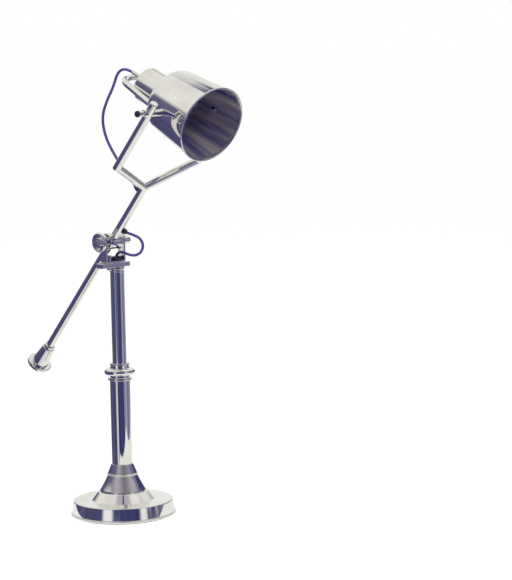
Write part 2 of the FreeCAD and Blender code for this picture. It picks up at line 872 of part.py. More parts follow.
# Arm pivot: a bolt through both cheeks and the clamp block, a disc knob and a long domed nut.
pivot_y = Pose(0, 0, dim.pivot_height, (1, 0, 0), -90)
pivot_near = Pose(0, 0, dim.pivot_height, (1, 0, 0), 90)
half_block = dim.block_length / 2
knob_start = 3 * dim.seat_gap - cheek_near_out
disc_start = knob_start + dim.disc_hub_length
disc_end = disc_start + dim.disc_thick
boss_end = disc_end + dim.disc_boss_length
nut_end = cheek_far_out + dim.pivot_nut_length
bolt = Piece("pivot_bolt", pivot_y)
bolt.turn([
    (0, -(boss_end + dim.bolt_tip)),
    (dim.bolt_radius, -(boss_end + dim.bolt_tip)),
    (dim.bolt_radius, nut_end - dim.bolt_radius * 1.2),
    (0, nut_end - dim.bolt_radius * 1.2),
])
bolt.soften([(dim.bolt_radius, -(boss_end + dim.bolt_tip))], dim.small_edge)

pivot_nut = Piece("pivot_nut", pivot_y)
pivot_nut.turn([
    (dim.bolt_radius + dim.slide_clearance, cheek_far_out),
    (dim.pivot_nut_radius, cheek_far_out),
    (dim.pivot_nut_radius, nut_end),
    (0, nut_end),
    (0, nut_end - dim.bolt_radius),
    (dim.bolt_radius + dim.slide_clearance, nut_end - dim.bolt_radius),
])
pivot_nut.soften([(dim.pivot_nut_radius, nut_end)], 2.4)

near_washer = Piece("pivot_washer", pivot_y)
near_washer.turn([
    (bolt_hole, cheek_near_in),
    (dim.washer_radius, cheek_near_in),
    (dim.washer_radius, dim.arm_offset - half_block - dim.seat_gap),
    (bolt_hole, dim.arm_offset - half_block - dim.seat_gap),
])

far_spacer = Piece("pivot_spacer", pivot_y)
far_spacer.turn([
    (bolt_hole, dim.arm_offset + half_block + dim.seat_gap),
    (dim.spacer_radius, dim.arm_offset + half_block + dim.seat_gap),
    (dim.spacer_radius, cheek_far_in),
    (bolt_hole, cheek_far_in),
])

rim_low = dim.disc_radius - dim.disc_rim
knob = Piece("disc_knob", pivot_near)
knob.turn([
    (bolt_hole, knob_start),
    (dim.disc_hub_radius, knob_start),
    (dim.disc_hub_radius, disc_start),
    (rim_low, disc_start, dim.disc_rim, -1),
    (rim_low, disc_end),
    (dim.disc_boss_radius + 2, disc_end - dim.disc_dish),
    (dim.disc_boss_radius, disc_end - dim.disc_dish),
    (dim.disc_boss_radius, boss_end),
    (bolt_hole, boss_end),
])
knob.soften([(dim.disc_boss_radius, boss_end)], dim.small_edge)

# Arm. Its own frame has +Z along the arm towards the head and +Y along the pivot axis.
arm_frame = Pose(0, dim.arm_offset, dim.pivot_height, (0, 1, 0), dim.arm_lean)
along_y = Pose(0, 0, 0, (1, 0, 0), -90)
arm_inner = dim.arm_radius - dim.tube_wall
land = half_block - dim.block_land
block = Piece("clamp_block", arm_frame * along_y)
block.turn([
    (bolt_hole, -half_block),
    (dim.block_radius, -half_block),
    (dim.block_radius, -land),
    (dim.block_radius - dim.block_groove, -land),
    (dim.block_radius - dim.block_groove, -land + 2 * dim.block_groove),
    (dim.block_radius, -land + 2 * dim.block_groove),
    (dim.block_radius, land - 2 * dim.block_groove),
    (dim.block_radius - dim.block_groove, land - 2 * dim.block_groove),
    (dim.block_radius - dim.block_groove, land),
    (dim.block_radius, land),
    (dim.block_radius, half_block),
    (bolt_hole, half_block),
])
block.soften([(dim.block_radius, -half_block), (dim.block_radius, half_block)], dim.block_edge)
arm_hole = dim.arm_radius + dim.slide_clearance
block.pocket("XZ_Plane", [], dim.block_radius * 4, rings=[(0, 0, arm_hole)])

# Fork angles: the arm and the two slanted bars meet at the apex in equal mitres.
splay = angle_of(dim.fork_half_width, dim.fork_rise)
mitre = tangent(splay / 2)
flat = Size(1, "1") / tangent(splay)
reach = root(dim.fork_half_width * dim.fork_half_width + dim.fork_rise * dim.fork_rise)
wide = 2 * dim.arm_radius

arm = Piece("arm_tube", arm_frame)
arm.turn([
    (arm_inner, -dim.arm_below),
    (dim.arm_radius, -dim.arm_below),
    (dim.arm_radius, dim.apex_reach),
    (arm_inner, dim.apex_reach),
])
arm.pocket(
    "YZ_Plane",
    [
        (0, dim.apex_reach),
        (wide, dim.apex_reach - wide * mitre),
        (wide, dim.apex_reach + wide),
        (-wide, dim.apex_reach + wide),
        (-wide, dim.apex_reach - wide * mitre),
    ],
    wide * 2,
)
arm.pocket("XZ_Plane", [], wide * 2, rings=[(0, 0, bolt_hole)])


def fork_side(side, name):
    """One slanted bar and one prong, mitred to each other, to the arm and to the other side."""
    slant = arm_frame * Pose(0, 0, dim.apex_reach, (1, 0, 0), splay * -side)
    made = Piece(f"fork_bar_{name}", slant)
    high = reach + wide * mitre
    made.turn([(arm_inner, 0), (dim.arm_radius, 0), (dim.arm_radius, high), (arm_inner, high)])
    made.pocket(
        "YZ_Plane",
        [
            (0, 0),
            (wide * -side, wide * flat),
            (wide * -side, -wide),
            (wide * side, -wide),
            (wide * side, wide * mitre),
        ],
        wide * 2,
    )
    made.pocket(
        "YZ_Plane",
        [
            (wide * -side, reach - wide * mitre),
            (wide * side, reach + wide * mitre),
            (wide * side, reach + 3 * wide),
            (wide * -side, reach + 3 * wide),
        ],
        wide * 2,
    )
    corner = arm_frame * Pose(0, dim.fork_half_width * side, dim.apex_reach + dim.fork_rise)
    upright = Piece(f"fork_prong_{name}", corner)
    top = dim.prong_pivot + dim.prong_top
    upright.turn([
        (arm_inner, -wide * mitre),
        (dim.arm_radius, -wide * mitre),
        (dim.arm_radius, top),
        (0, top),
        (0, top - dim.prong_cap_thick),
        (arm_inner, top - dim.prong_cap_thick),
    ])
    upright.soften([(dim.arm_radius, top)], dim.prong_cap_thick * 0.8)
    upright.pocket(
        "YZ_Plane",
        [
            (wide * -side, wide * mitre),
            (wide * side, -wide * mitre),
            (wide * side, -3 * wide),
            (wide * -side, -3 * wide),
        ],
        wide * 2,
    )
    upright.pocket(
        "XZ_Plane", [], wide * 2,
        rings=[(0, dim.prong_pivot, dim.bush_radius + dim.slide_clearance)],
    )


fork_side(-1, "near")
fork_side(1, "far")

# Glands where the short leads leave the arm: one under the arm near the pivot, one behind the apex.
lower_turn = Pose(0, 0, dim.lower_gland_reach, (0, 0, 1), dim.lower_gland_turn)
sideways = Pose(0, 0, 0, (0, 1, 0), 90)
lower_gland = Piece("lower_gland", arm_frame * lower_turn * sideways)
lower_end = dim.arm_radius + dim.lower_gland_length
gland_stem = lead_bore + dim.gland_wall
lower_gland.turn([
    (lead_bore, arm_inner),
    (gland_stem, arm_inner),
    (gland_stem, dim.arm_radius + dim.seat_gap),
    (dim.lower_gland_radius, dim.arm_radius + dim.seat_gap),
    (dim.lower_gland_radius, lower_end - dim.lower_gland_length * 0.4),
    (dim.lower_gland_radius * 0.7, lower_end),
    (lead_bore, lower_end),
])

arm.pocket(
    "YZ_Plane", [], wide, both=False, offset=Pose(turn=dim.lower_gland_turn),
    rings=[(0, dim.lower_gland_reach, gland_stem + dim.slide_clearance)], flip=True,
)

upper_level = dim.apex_reach - dim.upper_gland_back
backwards = Pose(0, 0, 0, (0, 1, 0), -90)
upper_end = dim.arm_radius + dim.upper_gland_length
upper_gland = Piece("upper_gland", arm_frame * Pose(0, 0, upper_level) * backwards)
upper_gland.turn([
    (lead_bore, arm_inner),
    (gland_stem, arm_inner),
    (gland_stem, dim.arm_radius + dim.seat_gap),
    (dim.upper_gland_radius, dim.arm_radius + dim.seat_gap),
    (dim.upper_gland_radius, upper_end - dim.upper_gland_length * 0.5),
    (dim.upper_gland_radius * 0.8, upper_end),
    (lead_bore, upper_end),
])
arm.pocket(
    "YZ_Plane", [], wide, both=False,
    rings=[(0, upper_level, gland_stem + dim.slide_clearance)],
)
# Counterweight: a neck ring and a tapered body on the end of the arm, with a wide flanged foot.
neck_low = -(dim.arm_below - dim.weight_socket)
body_top = neck_low - dim.weight_neck_length
body_low = body_top - dim.weight_body_length
flange_low = body_low - dim.weight_flange_thick
socket = dim.arm_radius + dim.slide_clearance
weight_neck = Piece("weight_neck", arm_frame)
weight_neck.turn([
    (socket, body_top),
    (dim.weight_neck_radius, body_top),
    (dim.weight_neck_radius, neck_low),
    (socket, neck_low),
])
weight_neck.soften([(dim.weight_neck_radius, neck_low), (dim.weight_neck_radius, body_top)], 2.2)

weight = Piece("counterweight", arm_frame)
weight.turn([
    (0, body_low),
    (dim.weight_low_radius, body_low),
    (dim.weight_top_radius, body_top),
    (socket, body_top),
    (socket, -dim.arm_below),
    (0, -dim.arm_below),
])
weight.soften([(dim.weight_top_radius, body_top)], 1.6)

weight_foot = Piece("weight_foot", arm_frame)
weight_foot.turn([
    (0, flange_low - dim.weight_dome),
    (dim.weight_dome_radius * 0.6, flange_low - dim.weight_dome),
    (dim.weight_dome_radius, flange_low),
    (dim.weight_flange_radius, flange_low),
    (dim.weight_flange_radius, body_low),
    (0, body_low),
])
weight_foot.soften([(dim.weight_flange_radius, body_low), (dim.weight_flange_radius, flange_low)], 2.6)

# Head. Its own frame has +Z forward along the shade's axis, +Y along the pivots and -X upward.
head_place = Pose(0, 0, dim.apex_reach + dim.fork_rise + dim.prong_pivot)
head_frame = arm_frame * head_place * Pose(0, 0, 0, (0, 1, 0), 90 + dim.head_tilt - dim.arm_lean)
head_y = head_frame * along_y
taper = (dim.rim_radius - dim.drum_back_radius) / (dim.rim_forward + dim.drum_back)


def drum_at(level):
    """Outer radius of the drum at a height along its axis."""
    return dim.rim_radius - taper * (dim.rim_forward - level)


slope = angle_of(dim.rim_radius - dim.drum_back_radius, dim.rim_forward + dim.drum_back)
bend_centre = dim.drum_shoulder - dim.drum_back
flat_radius = drum_at(bend_centre - dim.drum_shoulder * sine(slope)) - dim.drum_shoulder * cosine(slope)


def shell(skin, front):
    """Corners of a skin that lies inside the drum's outer surface, from the front to the flat back."""
    bend = dim.drum_shoulder - skin
    return [
        (drum_at(front) - skin / cosine(slope), front),
        (flat_radius + bend * cosine(slope), bend_centre - bend * sine(slope), bend, -1),
        (flat_radius, bend_centre - bend),
    ]


def shell_back(skin, front):
    """The same corners the other way round."""
    bend = dim.drum_shoulder - skin
    return [
        (flat_radius, bend_centre - bend, bend, 1),
        (flat_radius + bend * cosine(slope), bend_centre - bend * sine(slope)),
        (drum_at(front) - skin / cosine(slope), front),
    ]


can_mouth = dim.can_radius - dim.can_edge
shade = Piece("shade", head_frame)
shade.turn([
    *shell(Size.of(0), dim.rim_forward),
    (can_mouth, -dim.drum_back),
    (can_mouth, dim.shade_wall - dim.drum_back),
    *shell_back(dim.shade_wall, dim.rim_forward),
])
shade.bead(dim.rim_radius - dim.shade_wall / 2, dim.rim_forward, dim.bead_radius)
head_bolt_hole = dim.head_bolt_radius + dim.slide_clearance
shade.pocket("XZ_Plane", [], dim.rim_radius * 3, rings=[(0, 0, head_bolt_hole)])

# Satin reflector: a thin liner that follows the drum and closes in to a mouth at the back.
liner_front = dim.rim_forward - 2 * dim.bead_radius
liner_skin = dim.shade_wall + dim.liner_gap
liner = Piece("reflector", head_frame)
liner.turn([
    *shell(liner_skin, liner_front),
    (dim.liner_mouth, bend_centre - dim.drum_shoulder + liner_skin),
    (dim.liner_mouth, bend_centre - dim.drum_shoulder + liner_skin + dim.liner_wall),
    *shell_back(liner_skin + dim.liner_wall, liner_front),
])
liner.pocket("XZ_Plane", [], dim.rim_radius * 3, rings=[(0, 0, head_bolt_hole)])

outlet_stem = lead_bore + dim.gland_wall

# Rear can that covers the lampholder, flanged onto the flat back of the drum.
can_back = dim.drum_back + dim.can_length
can = Piece("rear_can", head_frame)
can.turn([
    (0, -can_back),
    (dim.can_radius, -can_back),
    (dim.can_radius, -dim.drum_back - dim.can_flange_thick),
    (dim.can_radius + dim.can_flange, -dim.drum_back - dim.can_flange_thick),
    (dim.can_radius + dim.can_flange, -dim.drum_back),
    (dim.can_radius - dim.shade_wall, -dim.drum_back),
    (dim.can_radius - dim.shade_wall, -can_back + dim.shade_wall),
    (0, -can_back + dim.shade_wall),
])
can.soften([(dim.can_radius, -can_back)], dim.can_edge)
can.pocket(
    "XY_Plane", [], dim.shade_wall * 4, offset=-can_back,
    rings=[(-dim.outlet_rise, dim.outlet_side, outlet_stem + dim.seat_gap)],
)

holder_back = -can_back + dim.shade_wall + dim.liner_gap
holder_low = holder_back + dim.holder_stem_radius
holder_high = holder_low + dim.holder_length
holder = Piece("lampholder", head_frame)
holder.turn([
    (0, holder_back),
    (dim.holder_stem_radius, holder_back),
    (dim.holder_stem_radius, holder_low),
    (dim.holder_radius, holder_low),
    (dim.holder_radius, holder_high),
    (dim.holder_bore, holder_high),
    (dim.holder_bore, holder_high - dim.holder_depth),
    (0, holder_high - dim.holder_depth),
])
holder.soften([(dim.holder_radius, holder_high)], 1.5)

outlet_frame = head_frame * Pose(-dim.outlet_rise, dim.outlet_side, -can_back, (0, 1, 0), 180)
outlet = Piece("head_gland", outlet_frame)
outlet.turn([
    (lead_bore, -dim.shade_wall),
    (outlet_stem, -dim.shade_wall),
    (outlet_stem, dim.seat_gap),
    (dim.outlet_radius, dim.seat_gap),
    (dim.outlet_radius, dim.outlet_nut),
    (dim.outlet_sleeve, dim.outlet_nut),
    (dim.outlet_sleeve, dim.outlet_length),
    (lead_bore, dim.outlet_length),
])

# Rear handle: a rod bent to a U, its two ends shaped to the drum's rounded back.
inward = angle_of(dim.handle_foot_half - dim.handle_back_half, dim.handle_reach)
trim = dim.handle_bend * tangent((90 - inward) / 2)
handle = Piece("rear_handle", head_frame)
route = handle.sketch(
    "YZ_Plane", Pose(0, -dim.drum_back, dim.handle_drop, (1, 0, 0), dim.handle_pitch)
)
root_half = dim.handle_foot_half + dim.handle_root * tangent(inward)
handle.outline(
    route,
    [
        (-root_half, dim.handle_root),
        (
            -dim.handle_back_half - trim * sine(inward),
            -dim.handle_reach + trim * cosine(inward),
            dim.handle_bend,
            -1,
        ),
        (-dim.handle_back_half + trim, -dim.handle_reach),
        (dim.handle_back_half - trim, -dim.handle_reach, dim.handle_bend, -1),
        (dim.handle_back_half + trim * sine(inward), -dim.handle_reach + trim * cosine(inward)),
        (root_half, dim.handle_root),
    ],
    closed=False,
)
handle.sweep(route, dim.handle_radius)
handle.groove([
    (0, dim.handle_root),
    (0, -dim.drum_back - dim.seat_gap),
    *shell_back(-dim.seat_gap, dim.handle_root),
])

# Head pivots: bosses on the drum, bolts through them, and bushes in the prongs.
outside = dim.fork_half_width
bush_in = outside - dim.arm_radius - dim.bush_stand
bush_out = outside + dim.arm_radius + dim.bush_stand
prong_y = arm_frame * head_place * along_y
bush_bore = dim.head_bolt_radius + dim.slide_clearance
bushes = Piece("prong_bushes", prong_y)
bushes.turn([
    (bush_bore, bush_in),
    (dim.bush_radius, bush_in),
    (dim.bush_radius, bush_out),
    (bush_bore, bush_out),
])
bushes.mirror("XY_Plane")

boss_start = drum_at(dim.boss_radius) + dim.seat_gap
boss_out = bush_in - 3 * dim.seat_gap
bosses = Piece("pivot_bosses", head_y)
bosses.turn([
    (bush_bore, boss_start),
    (dim.boss_radius, boss_start),
    (dim.boss_radius * 0.8, boss_out),
    (bush_bore, boss_out),
])
bosses.mirror("XY_Plane")

bolt_seat = drum_at(-dim.head_bolt_head) - liner_skin - dim.liner_wall - dim.seat_gap
knob_near = bush_out + dim.bush_stand / 4 + dim.lock_nut_thick + 3 * dim.seat_gap
knob_far = knob_near + dim.tilt_knob_length
bolt_end = knob_near + dim.tilt_knob_length * 0.4
head_bolts = Piece("head_bolts", head_y)
head_bolts.turn([
    (0, bolt_seat - dim.head_bolt_cap),
    (dim.head_bolt_head, bolt_seat - dim.head_bolt_cap),
    (dim.head_bolt_head, bolt_seat),
    (dim.head_bolt_radius, bolt_seat),
    (dim.head_bolt_radius, bolt_end),
    (0, bolt_end),
])
head_bolts.soften([(dim.head_bolt_head, bolt_seat - dim.head_bolt_cap)], dim.head_bolt_cap / 2)
head_bolts.mirror("XY_Plane")

nut_seat = bush_out + dim.bush_stand / 4
near_y = head_frame * Pose(0, 0, 0, (1, 0, 0), 90)
lock_nut = Piece("lock_nut", near_y)
lock_nut.turn([
    (bush_bore, nut_seat),
    (dim.lock_nut_radius, nut_seat),
    (dim.lock_nut_radius, nut_seat + dim.lock_nut_thick),
    (bush_bore, nut_seat + dim.lock_nut_thick),
])
lock_nut.soften([(dim.lock_nut_radius, nut_seat + dim.lock_nut_thick)], 0.8)

tilt_knob = Piece("tilt_knob", near_y)
tilt_knob.turn([
    (bush_bore, knob_near),
    (dim.tilt_knob_radius, knob_near),
    (dim.tilt_knob_radius * 0.86, knob_near + dim.tilt_knob_length * 0.45),
    (dim.tilt_knob_radius, knob_far),
    (0, knob_far),
    (0, bolt_end + dim.slide_clearance * 10),
    (bush_bore, bolt_end + dim.slide_clearance * 10),
])

tip = Piece("tilt_knob_tip", near_y)
tip.turn([
    (0, knob_far),
    (dim.tilt_tip_radius, knob_far),
    (dim.tilt_tip_radius, knob_far + dim.tilt_tip_length),
    (0, knob_far + dim.tilt_tip_length),
])
tip.soften([(dim.tilt_tip_radius, knob_far + dim.tilt_tip_length)], 2.0)
tip.soften([(dim.tilt_tip_radius, knob_far)], 0.8)

acorn = Piece("acorn_nut", head_y)
acorn_end = bolt_end + dim.acorn_cap
acorn.turn([
    (bush_bore, nut_seat),
    (dim.acorn_radius, nut_seat),
    (dim.acorn_radius, acorn_end),
    (0, acorn_end),
    (0, bolt_end + dim.slide_clearance * 10),
    (bush_bore, bolt_end + dim.slide_clearance * 10),
])
acorn.soften([(dim.acorn_radius, acorn_end)], dim.acorn_cap)

# Two small clips on the outside of the drum just behind the rolled rim.
clip_high = dim.rim_forward - dim.bead_radius - dim.clip_set_back
clip_low = clip_high - dim.clip_length
clips = Piece("rim_clips", head_frame)
clips.pad(
    "XZ_Plane",
    [
        (-dim.clip_width / 2, clip_low),
        (dim.clip_width / 2, clip_low),
        (dim.clip_width / 2, clip_high),
        (-dim.clip_width / 2, clip_high),
    ],
    dim.clip_thick,
    offset=dim.rim_radius,
)
clips.mirror("XZ_Plane")

# The two short leads, each a soft round cord bent through easy arcs.
CORD_ROUTES = []


def cord(label, points):
    """A round lead along a route of points, straight between them and rounded at each one."""
    points = [FreeCAD.Vector(*p) for p in points]
    cuts = []
    for index in range(1, len(points) - 1):
        before = points[index] - points[index - 1]
        after = points[index + 1] - points[index]
        turn = before.getAngle(after)
        short = min(before.Length, after.Length)
        radius = 0.45 * short / math.tan(turn / 2)
        cuts.append((index, 0.45 * short, turn, radius))
    edges = []
    last = points[0]
    length = 0.0
    for index, cut, turn, radius in cuts:
        corner = points[index]
        back = (points[index - 1] - corner).normalize()
        ahead = (points[index + 1] - corner).normalize()
        first = corner + back * cut
        second = corner + ahead * cut
        centre_way = (back + ahead).normalize()
        middle = corner + centre_way * (radius / math.cos(turn / 2) - radius)
        edges.append(Part.LineSegment(last, first).toShape())
        edges.append(Part.Arc(first, middle, second).toShape())
        length += (first - last).Length + radius * turn
        last = second
    edges.append(Part.LineSegment(last, points[-1]).toShape())
    length += (points[-1] - last).Length
    spine = Part.Wire(edges)
    radius = dim.lead_radius.number
    disc = Part.Wire([Part.makeCircle(radius, points[0], points[1] - points[0])])
    solid = spine.makePipeShell([disc], True, True)
    made = doc.addObject("Part::Feature", label)
    made.Label = label
    made.Shape = solid
    finished.append(made)
    bends = [round(r / (2 * radius), 1) for _, _, _, r in cuts]
    print(
        label, "length", round(length, 1), "bend radii in diameters", bends,
        "volume over section x length", round(solid.Volume / (math.pi * radius * radius * length), 4),
    )
    CORD_ROUTES.append((label, [tuple(round(c, 2) for c in p) for p in points]))


upper_seat = arm_frame * Pose(0, 0, upper_level) * backwards
lower_seat = arm_frame * lower_turn * sideways
upper_tip = upper_seat.point(0, 0, upper_end.number)
outlet_tip = outlet_frame.point(0, 0, dim.outlet_length.number)
lower_tip = lower_seat.point(0, 0, lower_end.number)
cord("head_lead", [
    outlet_tip,
    outlet_frame.point(0, 0, dim.outlet_length.number + 21),
    (47, -25.5, 842),
    (30, -23, 813),
    (8, -21, 787),
    (-9, -19, 757),
    (-4, -17, 722),
    (14, -13.6, 691),
    upper_seat.point(0, 0, upper_end.number + 38),
    upper_tip,
])
cord("arm_lead", [
    lower_tip,
    (42.5, 6.5, 537.0),
    (54.5, 12.5, 530.5),
    (60.0, 15.0, 518.3),
    (56.0, 13.3, 504.8),
    (44.5, 10.5, 498.0),
    (31.0, 7.2, 497.8),
    (16.0, 4.0, 502.6),
    (3.0, 1.0, 503.2),
    (-1.3, -0.2, 493.5),
])

doc.recompute()
for item in doc.Objects:
    if any(word in ("Invalid", "Error") for word in item.State):
        raise ValueError(f"{item.Name}: {item.State}")
for item in finished:
    if item.Shape.isNull() or not item.Shape.isValid():
        raise ValueError(f"{item.Label}: no sound shape")
os.makedirs("parts", exist_ok=True)
for item in finished:
    item.Shape.exportStep(f"parts/{item.Label}.step")
print(len(finished), "parts written")
print("tips", upper_tip, outlet_tip, lower_tip)
for route in CORD_ROUTES:
    print(route)
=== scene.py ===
"""Looks of the tabletop searchlight lamp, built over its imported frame.

The lamp is a weighted spun base, a stepped column, a swivelling yoke with a friction pivot, a
counterweighted arm with a wishbone fork, and a drum shaped head. Nearly every part is turned, so most
shapes here are profiles carried round an axis. Sizes are in millimetres in the classes and become metres
when a mesh is made.
"""

import logging  # noqa: E402
import math  # noqa: E402
from dataclasses import dataclass, field  # noqa: E402
from enum import Enum  # noqa: E402
from functools import cached_property  # noqa: E402
from typing import Sequence  # noqa: E402

import bpy  # noqa: E402
import numpy as np  # noqa: E402
from mathutils import Matrix  # noqa: E402


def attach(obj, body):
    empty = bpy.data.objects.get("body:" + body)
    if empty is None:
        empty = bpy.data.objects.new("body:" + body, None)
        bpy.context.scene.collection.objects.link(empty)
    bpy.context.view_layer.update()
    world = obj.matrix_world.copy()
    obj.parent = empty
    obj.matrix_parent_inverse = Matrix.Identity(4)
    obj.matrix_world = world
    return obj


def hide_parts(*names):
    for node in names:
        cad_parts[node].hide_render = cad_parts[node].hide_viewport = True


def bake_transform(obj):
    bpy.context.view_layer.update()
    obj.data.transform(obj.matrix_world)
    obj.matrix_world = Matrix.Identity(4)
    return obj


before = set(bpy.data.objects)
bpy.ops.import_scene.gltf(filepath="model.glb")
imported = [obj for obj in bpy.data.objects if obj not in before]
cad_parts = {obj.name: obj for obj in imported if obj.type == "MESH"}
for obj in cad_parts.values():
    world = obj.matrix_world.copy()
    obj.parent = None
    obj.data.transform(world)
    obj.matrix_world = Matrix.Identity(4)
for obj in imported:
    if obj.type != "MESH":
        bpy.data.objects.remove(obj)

LOG = logging.getLogger("searchlight_lamp")
MM = 0.001
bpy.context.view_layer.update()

Corners = Sequence[Sequence[float]]
Socket = bpy.types.NodeSocket


class Body(Enum):
    """The moving groups of the frame that a piece can ride on."""

    STAND = "stand"
    YOKE = "yoke"
    DISC_KNOB = "disc_knob"
    ARM = "arm"
    HEAD = "head"
    TILT_KNOB = "tilt_knob"


class Slot(Enum):
    """Material slots of the record."""

    NICKEL = "polished_nickel"
    REFLECTOR = "satin_reflector"
    FELT = "felt"
    IRON = "iron"
    RUBBER = "black_rubber"
    SHEATH = "lead_sheath"
    PLASTIC = "black_plastic"


# Places: 4x4 matrices in millimetres.


def shift(x: float = 0.0, y: float = 0.0, z: float = 0.0) -> np.ndarray:
    """Returns the matrix of a move in millimetres."""
    made = np.eye(4)
    made[:3, 3] = (x, y, z)
    return made


def spin(axis: str, degrees: float) -> np.ndarray:
    """Returns the matrix of a right-handed turn about x, y or z."""
    return np.array(Matrix.Rotation(math.radians(degrees), 4, axis.upper()))


def frame_of(columns: Sequence[np.ndarray]) -> Matrix:
    """Returns the matrix whose columns are three axes and a place."""
    made = np.eye(4)
    made[:3] = np.stack(columns, 1)
    return Matrix(made.tolist())


@dataclass(frozen=True)
class Layout:
    """Where the main frames of the lamp stand, in millimetres and degrees."""

    pivot_height: float = 524.2
    arm_offset: float = -10.4
    arm_lean: float = 42.0
    apex_reach: float = 141.5
    fork_rise: float = 59.7
    prong_pivot: float = 132.2
    head_tilt: float = 22.4

    @property
    def head_reach(self) -> float:
        """Distance of the head pivot from the arm pivot."""
        return self.apex_reach + self.fork_rise + self.prong_pivot

    @property
    def pivot(self) -> np.ndarray:
        """Frame of the arm pivot, +Z along the pivot axis towards +Y."""
        return shift(z=self.pivot_height) @ spin("x", -90)

    @property
    def pivot_near(self) -> np.ndarray:
        """Frame of the arm pivot, +Z towards the disc knob."""
        return shift(z=self.pivot_height) @ spin("x", 90)

    @property
    def arm(self) -> np.ndarray:
        """Frame of the arm, +Z up the arm."""
        return shift(0, self.arm_offset, self.pivot_height) @ spin("y", self.arm_lean)

    @property
    def head(self) -> np.ndarray:
        """Frame of the head, +Z forward and -X upward."""
        return self.arm @ shift(z=self.head_reach) @ spin("y", 90 + self.head_tilt - self.arm_lean)


LAYOUT = Layout()


# Surfaces.


def rounded(corners: Corners, closed: bool = True, steps: int = 6) -> np.ndarray:
    """Rounds the corners of an outline with tangent arcs.

    Each arc starts and ends where a circle of the corner's radius touches the two runs, and its points lie
    on that circle at equal angles.

    Args:
        corners: Points (a, b) or (a, b, radius) of the outline.
        closed: Whether the last corner joins the first.
        steps: Parts that a quarter turn is divided into.

    Returns:
        The points of the rounded outline, one row each.
    """
    total = len(corners)
    flat = np.array([c[:2] for c in corners], float)
    out = []
    for index, corner in enumerate(corners):
        here = flat[index]
        radius = corner[2] if len(corner) > 2 else 0.0
        if radius <= 0 or (not closed and index in (0, total - 1)):
            out.append(here[None])
            continue
        back, ahead = flat[index - 1] - here, flat[(index + 1) % total] - here
        back, ahead = back / np.linalg.norm(back), ahead / np.linalg.norm(ahead)
        half = math.acos(float(np.clip(back @ ahead, -1, 1))) / 2
        centre = here + (back + ahead) / np.linalg.norm(back + ahead) * radius / math.sin(half)
        reach = radius / math.tan(half)
        first, last = here + back * reach - centre, here + ahead * reach - centre
        sweep = math.pi - 2 * half
        count = max(2, int(round(steps * sweep / (math.pi / 2))))
        turn = np.linspace(0, sweep, count + 1) * np.sign(first[0] * last[1] - first[1] * last[0])
        c, s = np.cos(turn), np.sin(turn)
        out.append(centre + np.stack([first[0] * c - first[1] * s, first[0] * s + first[1] * c], 1))
    return np.concatenate(out)


def bow(start: Sequence[float], end: Sequence[float], radius: float, steps: int = 14) -> list[list[float]]:
    """Points of an arc from start to end that bulges to the left of the way there, or right if radius < 0.

    The centre lies on the bisector of the chord at sqrt(radius^2 - half chord^2) from its middle.
    """
    a, b = np.array(start, float), np.array(end, float)
    middle, chord = (a + b) / 2, b - a
    across = np.array([-chord[1], chord[0]]) / np.linalg.norm(chord) * math.copysign(1, radius)
    centre = middle - across * math.sqrt(max(radius * radius - (chord @ chord) / 4, 0.0))
    low, high = np.arctan2(*(a - centre)[::-1]), np.arctan2(*(b - centre)[::-1])
    high = low + (high - low + math.pi) % (2 * math.pi) - math.pi
    angle = np.linspace(low, high, steps + 1)
    return (centre + abs(radius) * np.stack([np.cos(angle), np.sin(angle)], 1)).tolist()


@dataclass
class Skin:
    """A mesh as whole arrays: points, faces, and a normal and a pattern place for each face corner."""

    points: np.ndarray
    faces: list = field(default_factory=list)
    normals: np.ndarray = field(default_factory=lambda: np.zeros((0, 3)))
    places: np.ndarray = field(default_factory=lambda: np.zeros((0, 2)))

    def at(self, pose: np.ndarray) -> "Skin":
        """Returns the skin moved by a 4x4 matrix."""
        turn = pose[:3, :3].T
        return Skin(self.points @ turn + pose[:3, 3], self.faces, self.normals @ turn, self.places)

    def __add__(self, other: "Skin") -> "Skin":
        """Joins two skins into one mesh of two shells."""
        moved = [tuple(i + len(self.points) for i in face) for face in other.faces]
        return Skin(
            np.concatenate([self.points, other.points]), self.faces + moved,
            np.concatenate([self.normals, other.normals]), np.concatenate([self.places, other.places]),
        )


def unit(vectors: np.ndarray) -> np.ndarray:
    """Returns the vectors at length one, row by row."""
    return vectors / np.maximum(np.linalg.norm(vectors, axis=-1, keepdims=True), 1e-12)


def strip_normals(outline: np.ndarray, limit: float = 32.0) -> tuple[np.ndarray, np.ndarray]:
    """Normals of a closed outline at both ends of each run.

    A run's own normal is its direction turned a quarter right. Where two runs meet at less than the limit in
    degrees, both take the mean of the two weighted by length, so flat faces stay flat right up to their
    rounded edges.

    Returns:
        Normals at the start and at the end of each run.
    """
    run = np.roll(outline, -1, 0) - outline
    length = np.linalg.norm(run, axis=1, keepdims=True)
    own = np.stack([run[:, 1], -run[:, 0]], 1) / np.maximum(length, 1e-9)
    prior = np.roll(own, 1, 0)
    mixed = unit(own * length + prior * np.roll(length, 1, 0))
    smooth_join = (own * prior).sum(1) > math.cos(math.radians(limit))
    start = np.where(smooth_join[:, None], mixed, own)
    end = np.where(np.roll(smooth_join, -1)[:, None], np.roll(mixed, -1, 0), own)
    return start, end


